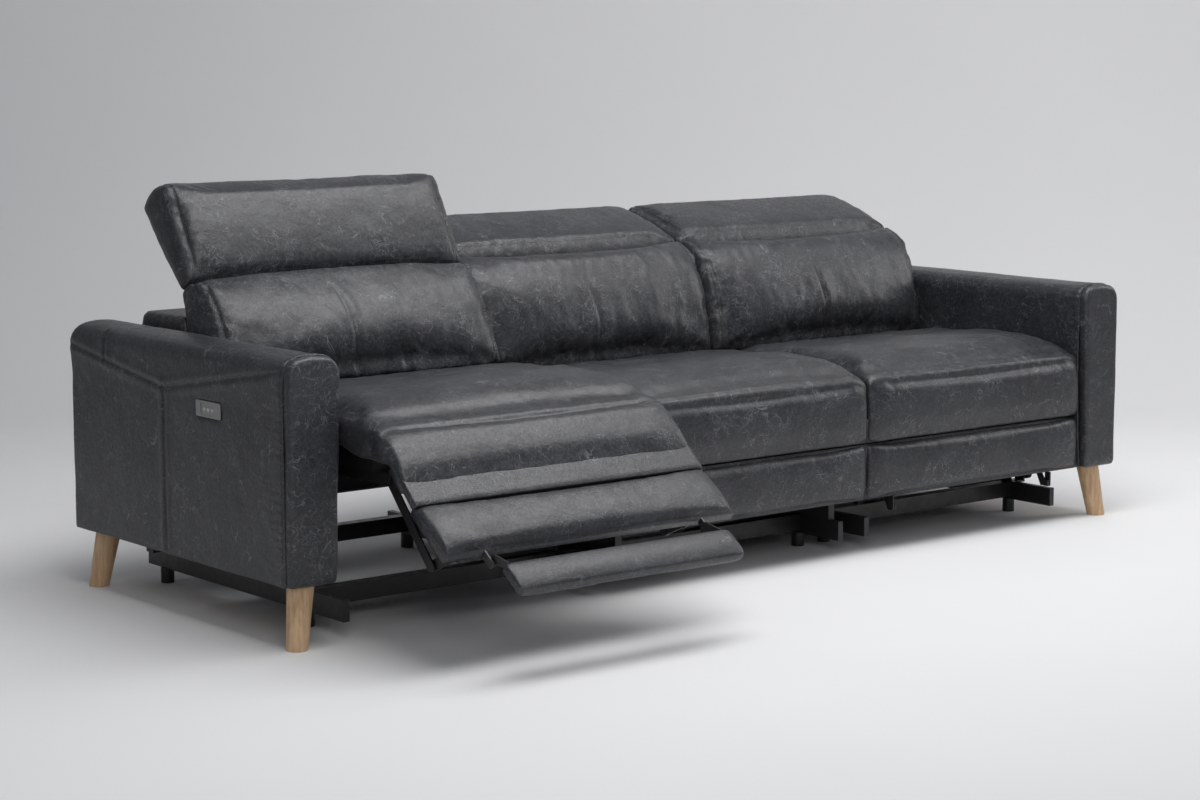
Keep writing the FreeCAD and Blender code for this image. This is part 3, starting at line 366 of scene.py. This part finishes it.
def fibre_lines(nodes, links, vector, scale, thin, twist):
    """Thin branching lines where a twisted noise crosses its middle value."""
    node = noise_node(nodes, links, vector, scale, 3.0, 0.55)
    node.inputs["Distortion"].default_value = twist
    off = math_node(nodes, links, "SUBTRACT", node.outputs["Fac"], 0.5)
    off = math_node(nodes, links, "ABSOLUTE", off, 0.0)
    return mapped(nodes, links, off, 0.0, thin, 1.0, 0.0)


def leather():
    """Pull-up leather: dark slate with mottling, light branching veins and a soft gloss."""
    mat, nodes, links, bsdf = shader("slate_leather", (0.045, 0.047, 0.052), 0.42)
    vector = place_nodes(nodes, links)
    patch = noise_node(nodes, links, vector, 11.0).outputs["Fac"]
    patch = mapped(nodes, links, patch, 0.42, 0.62, 0.0, 1.0)
    patch_b = noise_node(nodes, links, vector, 23.0).outputs["Fac"]
    patch_b = mapped(nodes, links, patch_b, 0.44, 0.64, 0.0, 1.0)
    long_lines = fibre_lines(nodes, links, vector, 15.0, 0.011, 0.9)
    short_lines = fibre_lines(nodes, links, vector, 38.0, 0.022, 0.8)
    hairs = fibre_lines(nodes, links, vector, 85.0, 0.035, 0.5)
    veins = math_node(nodes, links, "MULTIPLY", long_lines, patch_b)
    short_lines = math_node(nodes, links, "MULTIPLY", short_lines, patch)
    short_lines = math_node(nodes, links, "MULTIPLY", short_lines, 0.75)
    hairs = math_node(nodes, links, "MULTIPLY", hairs, 0.26)
    veins = math_node(nodes, links, "MAXIMUM", veins, short_lines)
    veins = math_node(nodes, links, "MAXIMUM", veins, hairs)
    cloud = noise_node(nodes, links, vector, 6.0, 6.0, 0.62)
    tone = mapped(nodes, links, cloud.outputs["Fac"], 0.32, 0.70, 0.0, 1.0)
    speck = noise_node(nodes, links, vector, 130.0, 5.0, 0.72)
    speckle = mapped(nodes, links, speck.outputs["Fac"], 0.38, 0.72, 0.0, 1.0)
    base = colour_mix(nodes, links, tone, (0.0145, 0.0153, 0.0180), (0.0275, 0.0288, 0.0325))
    light = math_node(nodes, links, "MULTIPLY", speckle, 0.30)
    base = colour_mix(nodes, links, light, base, (0.050, 0.052, 0.058))
    vein_light = math_node(nodes, links, "MULTIPLY", veins, 0.66)
    final = colour_mix(nodes, links, vein_light, base, (0.175, 0.182, 0.196))
    links.new(final, bsdf.inputs["Base Color"])
    links.new(mapped(nodes, links, speckle, 0.0, 1.0, 0.35, 0.48), bsdf.inputs["Roughness"])
    grain = nodes.new("ShaderNodeTexVoronoi")
    grain.inputs["Scale"].default_value = 560.0
    links.new(vector, grain.inputs["Vector"])
    creases = noise_node(nodes, links, vector, 55.0, 6.0, 0.6)
    creases.inputs["Distortion"].default_value = 0.7
    low = bump(nodes, links, creases.outputs["Fac"], 0.22, 0.004)
    middle = bump(nodes, links, veins, 0.22, 0.0010, low)
    top = bump(nodes, links, grain.outputs["Distance"], 0.28, 0.0006, middle)
    links.new(top, bsdf.inputs["Normal"])
    bsdf.inputs["Specular IOR Level"].default_value = 0.5
    return mat


def wood(name, light, dark, rough):
    mat, nodes, links, bsdf = shader(name, light, rough)
    vector = place_nodes(nodes, links, (14, 14, 1.6))
    grain = noise_node(nodes, links, vector, 9.0, 6.0, 0.6)
    ring = mapped(nodes, links, grain.outputs["Fac"], 0.35, 0.68, 0.0, 1.0)
    links.new(colour_mix(nodes, links, ring, light, dark), bsdf.inputs["Base Color"])
    links.new(bump(nodes, links, grain.outputs["Fac"], 0.15, 0.001), bsdf.inputs["Normal"])
    return mat


def metal(name, colour, rough, spread, scale=60.0, metallic=1.0):
    mat, nodes, links, bsdf = shader(name, colour, rough, metallic)
    vector = place_nodes(nodes, links)
    cloud = noise_node(nodes, links, vector, scale, 4.0)
    links.new(mapped(nodes, links, cloud.outputs["Fac"], 0.3, 0.7, rough - spread, rough + spread),
              bsdf.inputs["Roughness"])
    links.new(bump(nodes, links, cloud.outputs["Fac"], 0.08, 0.0008), bsdf.inputs["Normal"])
    return mat


FINISHES = {
    "leather": leather(),
    "leg_wood": wood("oak_leg", (0.64, 0.435, 0.26), (0.47, 0.29, 0.155), 0.42),
    "frame_wood": wood("frame_board", (0.42, 0.30, 0.17), (0.30, 0.20, 0.10), 0.75),
    "mechanism_steel": metal("black_steel", (0.012, 0.012, 0.013), 0.40, 0.08, metallic=0.0),
    "zinc_steel": metal("bright_zinc", (0.56, 0.56, 0.55), 0.32, 0.06),
    "spring_steel": metal("spring_wire", (0.22, 0.22, 0.21), 0.38, 0.06),
    "hinge_chrome": metal("hinge_chrome", (0.72, 0.72, 0.72), 0.16, 0.04),
    "motor_plastic": metal("motor_plastic", (0.016, 0.016, 0.017), 0.48, 0.06, 300.0, 0.0),
    "switch_metal": metal("pewter_plate", (0.34, 0.34, 0.33), 0.34, 0.07, 400.0),
    "button": metal("button_metal", (0.60, 0.60, 0.58), 0.28, 0.05, 400.0),
}


def finish_nodes():
    """Give every carried-over node its material, by the record's slots."""
    for row in frame["record"]["subparts"]:
        mesh = NODES[row["node"]].data
        mesh.materials.clear()
        mesh.materials.append(FINISHES[row["material_slot"]])


def dress(piece, body, *nodes, slot="leather"):
    """Material, smooth shading, the body it rides on and the nodes it stands for."""
    piece.data.materials.clear()
    piece.data.materials.append(FINISHES[slot])
    shade_smooth(piece)
    if body:
        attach(piece, body)
    if nodes:
        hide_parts(*nodes)


def leftovers(node, meshes, body, slot):
    """The hard parts of a node whose pad is replaced, shown as one piece."""
    if not meshes:
        return
    piece = new_object(node + "_hardware", bpy.data.meshes.new(node + "_hardware"))
    join_mesh(piece, *meshes)
    piece.data.materials.append(FINISHES[slot])
    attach(piece, body)


# Padded shapes, each made once on the closed seat and then placed on every unit
def closed_shape(nodes, size=VOXEL, extra=None, rounds=3, half=None):
    """CAD solids of the closed right unit as one remeshed cover, at the middle unit's place."""
    built = bmesh.new()
    for node in nodes:
        built.from_mesh(parts_of(node)[0])
    bmesh.ops.translate(built, verts=built.verts, vec=(-UNIT, -FRONT, 0))
    if extra:
        built.from_mesh(extra)
    mesh = bpy.data.meshes.new("shape")
    built.to_mesh(mesh)
    built.free()
    piece = new_object("shape_" + nodes[0], mesh)
    if half:
        points = coords(mesh)
        points[:, 0] *= half / np.abs(points[:, 0]).max()
        set_coords(mesh, points)
    remesh(piece, size)
    smooth(piece, 0.5, rounds)
    return piece


def bar(outline, half):
    """A straight bar across the unit with the given (y, z) outline."""
    count = len(outline)
    points = [(x, y, z) for x in (-half, half) for y, z in outline]
    faces = [list(range(count)), list(range(2 * count - 1, count - 1, -1))]
    for i in range(count):
        j = (i + 1) % count
        faces.append([i, i + count, j + count, j])
    mesh = bpy.data.meshes.new("bar")
    mesh.from_pydata(points, [], faces)
    built = bmesh.new()
    built.from_mesh(mesh)
    bmesh.ops.recalc_face_normals(built, faces=built.faces)
    built.to_mesh(mesh)
    built.free()
    return mesh


def side_limit(points, half, room, reach=0.09):
    """How far a point may move: nothing at the ends, where the next unit is."""
    end = np.clip((np.abs(points[:, 0]) - (half - reach)) / (reach - 0.002), 0, 1)
    return room * np.sqrt(1 - end * end)


def add_core(piece, y0, y1, z0, z1):
    """Join a square-edged core to a rounded pad, so that its back corners stay full."""
    core = bar([(y0, z0), (y1, z0), (y1, z1), (y0, z1)], PAD_HALF)
    join_mesh(piece, core)


def end_round(p, reach):
    """0 in the middle of the unit, rising like a quarter circle to 1 at its ends."""
    end = np.clip((np.abs(p[:, 0]) - (HALF - reach)) / reach, 0, 1)
    return 1 - np.sqrt(np.maximum(0, 1 - end * end))


def drop_ends(piece, top, reach, depth):
    """Round the upper surface down towards both ends of the unit."""
    p = coords(piece.data)
    p[:, 2] -= depth * end_round(p, reach) * top(p)
    set_coords(piece.data, p)


def bend_share(p, bend):
    """0 before a bend, 1 past it, smooth between."""
    (y0, z0), (y1, z1) = bend
    d = np.array((y1 - y0, z1 - z0))
    share = np.clip(((p[:, 1:] - np.array((y0, z0))) @ d) / (d @ d), 0, 1)
    return stepped(share, 0, 1)


def bent(mesh, base, pivot, degrees, share):
    """Move a closed shape to its pose, turning it about a pivot by its share of an angle."""
    p = coords(mesh)
    angle = np.radians(degrees) * share
    y, z = p[:, 1] - pivot[0], p[:, 2] - pivot[1]
    p[:, 1] = pivot[0] + y * np.cos(angle) - z * np.sin(angle)
    p[:, 2] = pivot[1] + y * np.sin(angle) + z * np.cos(angle)
    set_coords(mesh, p)
    mesh.transform(base)


def seat_shape():
    piece = closed_shape(["right_seat_cushion", "right_legrest_flap"], half=PAD_HALF)

    def cap(p):
        top = stepped(p[:, 2], 0.405, 0.425) * stepped(p[:, 1], 0.03, 0.12)
        face = stepped(0.03 - p[:, 1], 0, 0.02) * stepped(p[:, 2], 0.262, 0.31)
        face *= 1 - stepped(p[:, 2], 0.38, 0.41)
        return 0.001 + side_limit(p, HALF, 0.022) * top + side_limit(p, HALF, 0.008) * face

    swell(piece, 3.0, cap)
    drop_ends(piece, lambda p: stepped(p[:, 2], 0.35, 0.43), 0.055, 0.018)
    subdivide(piece)
    add_core(piece, 0.020, 0.037, 0.2645, 0.320)
    return piece


def back_depth(p):
    """How far back a point is, measured square to the leaning front of the back pad."""
    return p[:, 1] - 0.25 * (p[:, 2] - BACK_FOOT)


def back_shape():
    wedge = bar([(0.604, 0.630), (0.616, 0.661), (0.650, 0.684), (0.689, 0.704), (0.690, 0.660),
                 (0.680, 0.628)], HALF - 0.004)
    piece = closed_shape(["right_back_cushion"], extra=wedge, half=PAD_HALF)

    def cap(p):
        face = 1 - stepped(back_depth(p), 0.60, 0.64)
        return 0.001 + side_limit(p, HALF, 0.026) * face * stepped(p[:, 2], 0.43, 0.47)

    swell(piece, 3.0, cap)
    p = coords(piece.data)
    p[:, 1] += 0.018 * end_round(p, 0.05) * (1 - stepped(back_depth(p), 0.60, 0.66))
    set_coords(piece.data, p)
    subdivide(piece)
    return piece


def head_shape():
    piece = closed_shape(["right_headrest_pad"], half=PAD_HALF, rounds=2)
    swell(piece, 3.0, lambda p: 0.001 + side_limit(p, HALF, 0.009) * stepped(p[:, 2], 0.66, 0.72))
    drop_ends(piece, lambda p: stepped(p[:, 2], 0.66, 0.73), 0.045, 0.010)
    subdivide(piece)
    return piece


def board_shape(nodes, room, size=VOXEL, half=PAD_HALF, core=None):
    piece = closed_shape(nodes, size, half=half)
    if room:
        swell(piece, 2.5, lambda p: 0.001 + side_limit(p, HALF, room) * (1 - stepped(p[:, 1], 0.02, 0.04)))
    subdivide(piece)
    if core:
        add_core(piece, *core)
    return piece


def puckers(points, along, away, reach, depth, pitch, seed):
    """Short folds that run away from a seam and fade out over their reach."""
    wander = waves(points, 0.05, seed)
    strength = 0.5 + 0.5 * waves(points, 0.11, seed + 1)
    fold = depth * np.sin(2 * math.pi * along / pitch + 3.2 * wander)
    return fold * np.exp(-np.abs(away) / reach) * strength


def seat_detail(piece, seed):
    """Front seam, puckers and soft wrinkles on the closed seat and its front flap."""
    p = coords(piece.data)
    top = stepped(p[:, 2], 0.40, 0.43) * stepped(p[:, 1], 0.015, 0.04)
    away = np.hypot(p[:, 1] - 0.022, p[:, 2] - 0.424)
    edge = PAD_HALF - np.abs(p[:, 0])
    folds = puckers(p, p[:, 0], away, 0.05, 0.0005, 0.045, seed)
    folds += puckers(p, p[:, 0], p[:, 1] - 0.50, 0.09, 0.0022, 0.05, seed + 3) * top
    folds += puckers(p, p[:, 1], edge, 0.045, 0.0006, 0.06, seed + 5) * top
    folds += (0.0020 * top + 0.0010) * waves(p, 0.10, seed + 7, (1, 1.8, 1))
    folds += 0.0006 * waves(p, 0.03, seed + 8, (1, 1.4, 1))
    folds -= 0.0026 * near(away, 0, 0.0045)
    displace(piece, folds)
    sew(piece, [line_across(0.029, 0.432, 0.02)])


def back_detail(piece, seed, dart):
    """Side seams, a soft dart in the middle and wrinkles on the closed back pad."""
    p = coords(piece.data)
    face = 1 - stepped(back_depth(p), 0.64, 0.68)
    height = (p[:, 2] - BACK_FOOT) / 0.23
    fade = stepped(height, 0.02, 0.12) * (1 - stepped(height, 0.78, 0.95))
    line = dart - 0.012 * height * height
    folds = -0.0035 * near(p[:, 0], line, 0.0045) * fade
    folds += 0.0022 * near(p[:, 0], line + 0.016, 0.012) * fade
    folds += puckers(p, p[:, 0], p[:, 2] - 0.66, 0.05, 0.0008, 0.05, seed)
    folds += puckers(p, p[:, 0], p[:, 2] - 0.43, 0.08, 0.0030, 0.06, seed + 2)
    folds += puckers(p, p[:, 2], SEAM_X - np.abs(p[:, 0]), 0.05, 0.0012, 0.055, seed + 4)
    folds += 0.0028 * waves(p, 0.12, seed + 6, (1.6, 1, 1))
    folds += 0.0008 * waves(p, 0.035, seed + 8, (1.5, 1, 1))
    folds -= 0.0026 * near(np.abs(p[:, 0]), SEAM_X, 0.0035)
    displace(piece, folds * face)
    side = [(0.545, 0.435), (0.556, 0.50), (0.568, 0.57), (0.590, 0.62), (0.612, 0.658)]
    sew(piece, double_rows(side))


def head_detail(piece, seed):
    """Side seams, front stitches and wrinkles on the folded headrest."""
    p = coords(piece.data)
    folds = 0.0018 * waves(p, 0.10, seed)
    folds += 0.0006 * waves(p, 0.03, seed + 1)
    folds -= 0.0026 * near(np.abs(p[:, 0]), SEAM_X, 0.0035)
    folds += puckers(p, p[:, 1] + p[:, 2], SEAM_X - np.abs(p[:, 0]), 0.035, 0.0006, 0.045, seed + 4)
    away = np.hypot(p[:, 1] - 0.691, p[:, 2] - 0.702)
    folds += puckers(p, p[:, 0], away, 0.05, 0.0005, 0.045, seed + 6)
    displace(piece, folds)
    ring = [(0.690, 0.690), (0.700, 0.712), (0.760, 0.735), (0.830, 0.757), (0.905, 0.775),
            (0.935, 0.745), (0.945, 0.700)]
    sew(piece, double_rows(ring) + [line_across(0.700, 0.716, 0.03)])


def board_detail(piece, seed, top):
    """Wrinkles and short folds below the top edge of a board's front."""
    p = coords(piece.data)
    folds = 0.0014 * waves(p, 0.09, seed, (1, 1, 1.6))
    folds += 0.0006 * waves(p, 0.03, seed + 1)
    folds += puckers(p, p[:, 0], p[:, 2] - top, 0.022, 0.0008, 0.034, seed + 3)
    displace(piece, folds * (1 - stepped(p[:, 1], 0.03, 0.06)))


def double_rows(path):
    """Stitch lines on both sides of the two side seams, along a (y, z) path."""
    return [[(x * (SEAM_X + step), y, z) for y, z in path]
            for x in (-1, 1) for step in (-0.0042, 0.0042)]


def line_across(y, z, inset):
    return [(x, y, z) for x in np.linspace(inset - HALF, HALF - inset, 30)]


def sew(piece, lines, pitch=0.0072, long=0.0048, wide=0.0008, high=0.0009):
    """Lay a row of stitches on the cover along each line and join them to it."""
    mesh = piece.data
    tree = BVHTree.FromPolygons([v.co for v in mesh.vertices], [f.vertices[:] for f in mesh.polygons])
    built = bmesh.new()
    built.from_mesh(mesh)
    for line in lines:
        points = [Vector(c) for c in line]
        left = 0.0
        for one, two in zip(points, points[1:]):
            run = (two - one).length
            while left < run:
                spot, normal, _, _ = tree.find_nearest(one.lerp(two, left / run))
                along = (two - one).normalized()
                along = (along - normal * along.dot(normal)).normalized() * (long / 2)
                across = normal.cross(along).normalized() * wide
                up = normal * high
                corners = [spot - along, spot + across + up * 0.4, spot + up, spot - across + up * 0.4,
                           spot - up, spot + along]
                verts = [built.verts.new(c) for c in corners]
                for a, b in ((1, 2), (2, 3), (3, 4), (4, 1)):
                    for tip, pair in ((0, (b, a)), (5, (a, b))):
                        built.faces.new((verts[tip], verts[pair[0]], verts[pair[1]]))
                left += pitch
            left -= run
    built.to_mesh(mesh)
    built.free()


def build_units():
    shapes = {
        "seat": seat_shape(),
        "back": back_shape(),
        "head": head_shape(),
        "board": board_shape(["right_legrest_board"], 0.005, core=(0.024, 0.042, 0.130, 0.2605)),
        "foot": board_shape(["right_footrest_board"], 0.0, FINE_VOXEL, HALF - 0.084),
        "shell": board_shape(["right_back_shell"], 0.0),
    }
    for index, word in enumerate(POSES):
        seed = 11 * index + 3
        seat = place_seat(word, shapes["seat"], seed)
        back = place_back(word, shapes["back"], seed, DARTS[index])
        place_boards(word, shapes, seed)
    for shape in shapes.values():
        bpy.data.objects.remove(shape)
    build_tail()


# Where the dart of each back pad is, left to right, from the unit's middle
DARTS = (-0.035, -0.01, -0.01)


def unit_state(word):
    return OPEN_SEAT if word == "left" else CLOSED_SEAT


def body_of(word, part):
    """The body a part of a unit moves with; the middle seat is fixed but for its headrest."""
    return "root" if word == "middle" and part != "headrest" else word + "_" + part


def place_seat(word, shape, seed):
    seat = new_object(word + "_seat_leather", shape.data.copy())
    seat_detail(seat, seed)
    share = bend_share(coords(seat.data), FLAP_BEND)
    bent(seat.data, POSES[word]["seat"], FLAP_PIVOT, FLAP_SWING * unit_state(word)["legrest"], share)
    if word == "middle":
        dress(seat, "root", "middle_seat_cushion", "middle_front_panel")
        return seat
    blend_piece(seat, body_of(word, "seat"), body_of(word, "flap"))
    dress(seat, None, word + "_seat_cushion", word + "_legrest_flap")
    return seat


def place_back(word, shape, seed, dart):
    back = new_object(word + "_back_leather", shape.data.copy())
    back_detail(back, seed, dart)
    share = bend_share(coords(back.data), HEAD_BEND)
    bent(back.data, POSES[word]["back"], HEAD_PIVOT, unit_state(word)["headrest"], share)
    blend_piece(back, body_of(word, "back"), body_of(word, "headrest"))
    dress(back, None, word + "_back_cushion")
    return back


def place_boards(word, shapes, seed):
    """The headrest, outer back and folding boards of a unit."""
    fixed = word == "middle"
    jobs = [
        ("headrest_leather", "head", "headrest", "headrest_pad", lambda o: head_detail(o, seed)),
        ("outer_back", "shell", "back", "back_shell", lambda o: board_detail(o, seed, 0.6)),
        ("front_board", "board", "legrest", "legrest_board",
         lambda o: board_detail(o, seed + 2, 0.262)),
        ("foot_pad", "foot", "footrest", "footrest_board",
         lambda o: board_detail(o, seed + 4, 0.2)),
    ]
    for name, shape, part, node, detail in jobs:
        if fixed and node == "footrest_board":
            continue
        piece = new_object(word + "_" + name, shapes[shape].data.copy())
        detail(piece)
        piece.data.transform(POSES[word][part])
        if fixed and node == "legrest_board":
            dress(piece, "root", "middle_front_panel")
        else:
            dress(piece, body_of(word, part), word + "_" + node)
        if not fixed and node in ("legrest_board", "footrest_board"):
            hard = parts_of(word + "_" + node)[1:]
            leftovers(word + "_" + node, hard, body_of(word, part), "mechanism_steel")


def build_tail():
    """The slack leather between the open left flap and the board below it, shaped at the open pose and
    carried rigidly by the flap.
    """
    flap, board = POSES["left"]["flap"], POSES["left"]["legrest"]
    corners = [flap @ Vector((0, 0.0142, 0.290)), board @ Vector((0, 0.0135, 0.2565)),
               board @ Vector((0, 0.034, 0.2585)), flap @ Vector((0, 0.034, 0.285))]
    tail = new_object("left_flap_tail", bar([(c.y, c.z) for c in corners], PAD_HALF))
    tail.data.transform(Matrix.Translation((-UNIT, 0, 0)))
    remesh(tail, FINE_VOXEL)
    smooth(tail, 0.5, 2)
    subdivide(tail)
    points = coords(tail.data)
    displace(tail, 0.0007 * waves(points, 0.05, 31))
    dress(tail, "left_flap")
    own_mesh(tail)


def blend_piece(piece, one, two):
    if one == two:
        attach(piece, one)
    else:
        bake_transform(piece)


# Arms
SIDE_SEAMS = [
    [(0.878, 0.538), (0.486, 0.482), (0.030, 0.558)],
    [(0.486, 0.482), (0.486, 0.135)],
    [(0.730, 0.517), (0.730, 0.545), (0.730, 0.575)],
]


def seam_distance(points, line):
    """Distance in the (y, z) plane from each point to a seam's line."""
    best = np.full(len(points), 9.0)
    for (y0, z0), (y1, z1) in zip(line, line[1:]):
        d = np.array((y1 - y0, z1 - z0))
        share = np.clip(((points[:, 1:] - np.array((y0, z0))) @ d) / (d @ d), 0, 1)
        near_by = np.array((y0, z0)) + share[:, None] * d
        best = np.minimum(best, np.linalg.norm(points[:, 1:] - near_by, axis=1))
    return best


def arm_ring(sign, y):
    """The arm's outline from the inner foot over the top to the outer foot, as points at y."""
    inner, outer, round_in = ARM_INNER + 0.001, ARM_OUTER, 0.026
    ring = [(inner + 0.012, 0.135), (inner, 0.30), (inner, 0.50), (inner, 0.553)]
    ring += [(inner + 0.008, 0.575), (inner + round_in, 0.585), (inner + 0.060, 0.589)]
    ring += [(outer - round_in, 0.585), (outer - 0.007, 0.570), (outer + 0.002, 0.548)]
    ring += [(outer + 0.001, 0.40), (outer, 0.135)]
    return [(sign * x, y, z) for x, z in ring]


def piping(piece, path, radius):
    """A smooth round welt along a path, joined to the cover."""
    curve = bpy.data.curves.new("piping", "CURVE")
    curve.dimensions = "3D"
    curve.bevel_depth = radius
    curve.bevel_resolution = 2
    spline = curve.splines.new("NURBS")
    spline.points.add(len(path) - 1)
    for point, place in zip(spline.points, path):
        point.co = (*place, 1)
    spline.order_u = 3
    spline.use_endpoint_u = True
    spline.resolution_u = 8
    rope = bpy.data.objects.new("piping", curve)
    SCENE.collection.objects.link(rope)
    graph = bpy.context.evaluated_depsgraph_get()
    join_mesh(piece, bpy.data.meshes.new_from_object(rope.evaluated_get(graph)))
    bpy.data.objects.remove(rope)


def arm_detail(piece, sign):
    """Top band seam, vertical seam, puckers at the front edge and their stitches."""
    points = coords(piece.data)
    points[:, 1] -= FRONT
    outer = stepped(sign * points[:, 0], ARM_OUTER - 0.03, ARM_OUTER - 0.01)
    folds = 0.0012 * waves(points, 0.14, 3 + sign) + 0.0005 * waves(points, 0.03, 5 + sign)
    along = points[:, 2] + sign * points[:, 0]
    folds += puckers(points, along, points[:, 1] - 0.026, 0.03, 0.0012, 0.018, 9)
    for line in SIDE_SEAMS:
        away = seam_distance(points, line)
        folds -= 0.0022 * near(away, 0, 0.0035) * outer
        folds += 0.0012 * near(away, 0.012, 0.008) * outer
    bulge = stepped(points[:, 2], 0.47, 0.53) * (1 - stepped(points[:, 2], 0.565, 0.59))
    folds += 0.0025 * bulge * outer
    displace(piece, folds)
    lines = []
    for line in SIDE_SEAMS:
        lines.append([(sign * ARM_OUTER, y + FRONT, z + 0.005) for y, z in line])
    lines[1] = [(x, y + 0.005, z) for x, y, z in lines[1]]
    lines[2] = [(x, y + 0.005, z) for x, y, z in lines[2]]
    lines.append(arm_ring(sign, FRONT + 0.034))
    sew(piece, lines)


def build_arms():
    for side, sign in (("left", -1), ("right", 1)):
        cover = new_object(side + "_arm_leather", parts_of(side + "_arm_cover")[0])
        remesh(cover, VOXEL)
        smooth(cover, 0.5, 2)
        subdivide(cover)
        arm_detail(cover, sign)
        facing = new_object(side + "_arm_facing", parts_of(side + "_arm_front_panel")[0])
        remesh(facing, FINE_VOXEL)
        smooth(facing, 0.5, 2)
        subdivide(facing)
        points = coords(facing.data)
        displace(facing, 0.0010 * waves(points, 0.10, 21 + sign) + 0.0004 * waves(points, 0.03, 23 + sign))
        piping(facing, arm_ring(sign, FRONT + 0.024), 0.0028)
        for piece, node in ((cover, "_arm_cover"), (facing, "_arm_front_panel")):
            dress(piece, "root", side + node)


def build_apron():
    piece = new_object("rear_apron", parts_of("rear_lower_panel")[0])
    remesh(piece, 0.009)
    smooth(piece, 0.5, 2)
    dress(piece, "root", "rear_lower_panel")


# Room, light and camera
def build_room():
    mesh = bpy.data.meshes.new("studio")
    wide, front, back, bend, high = 9.0, -7.0, 2.2, 1.6, 6.0
    profile = [(front, 0.0), (back, 0.0)]
    for step in range(1, 13):
        angle = math.radians(7.5 * step)
        profile.append((back + bend * math.sin(angle), bend * (1 - math.cos(angle))))
    profile.append((back + bend, high))
    points, faces = [], []
    for y, z in profile:
        points += [(-wide, y, z), (wide, y, z)]
    for row in range(len(profile) - 1):
        faces.append((2 * row, 2 * row + 1, 2 * row + 3, 2 * row + 2))
    mesh.from_pydata(points, [], faces)
    piece = new_object("studio", mesh)
    piece.rotation_euler = (0, 0, math.radians(-39))
    shade_smooth(piece)
    mat, nodes, links, bsdf = shader("studio_paper", (0.80, 0.80, 0.80), 0.9)
    vector = place_nodes(nodes, links)
    cloud = noise_node(nodes, links, vector, 1.5)
    links.new(colour_mix(nodes, links, cloud.outputs["Fac"], (0.78, 0.78, 0.785), (0.82, 0.82, 0.82)),
              bsdf.inputs["Base Color"])
    clear = nodes.new("ShaderNodeBsdfTransparent")
    sides = nodes.new("ShaderNodeMixShader")
    links.new(nodes.new("ShaderNodeNewGeometry").outputs["Backfacing"], sides.inputs[0])
    links.new(bsdf.outputs["BSDF"], sides.inputs[1])
    links.new(clear.outputs["BSDF"], sides.inputs[2])
    links.new(sides.outputs["Shader"], nodes["Material Output"].inputs["Surface"])
    piece.data.materials.append(mat)


def lamp(name, at, aim, size, power):
    data = bpy.data.lights.new(name, "AREA")
    data.shape = "RECTANGLE"
    data.size, data.size_y = size
    data.energy = power
    item = bpy.data.objects.new(name, data)
    item.location = at
    item.rotation_euler = (Vector(aim) - Vector(at)).to_track_quat("-Z", "Y").to_euler()
    SCENE.collection.objects.link(item)


def build_light():
    world = bpy.data.worlds.new("soft_sky")
    SCENE.world = world
    world.use_nodes = True
    world.node_tree.nodes["Background"].inputs["Color"].default_value = (0.9, 0.93, 1.0, 1)
    world.node_tree.nodes["Background"].inputs["Strength"].default_value = 0.20
    lamp("softbox_top", (0.2, -0.7, 3.2), (0, 0.2, 0.4), (4.2, 1.5), 105)
    lamp("softbox_front", (-3.4, -4.6, 3.0), (0, 0, 0.4), (2.6, 2.0), 48)
    lamp("strip_right", (4.2, -1.2, 2.2), (0.4, 0, 0.5), (1.0, 2.4), 40)


def build_camera():
    data = bpy.data.cameras.new("camera")
    data.lens = CAMERA_LENS
    data.sensor_width = 36.0
    item = bpy.data.objects.new("camera", data)
    item.location = CAMERA_PLACE
    item.rotation_euler = (math.radians(90 - CAMERA_DOWN), 0, math.radians(CAMERA_ASIDE))
    SCENE.collection.objects.link(item)
    SCENE.camera = item


finish_nodes()
build_camera()
build_room()
build_light()
build_units()
build_arms()
build_apron()
SCENE.view_settings.view_transform = "Standard"
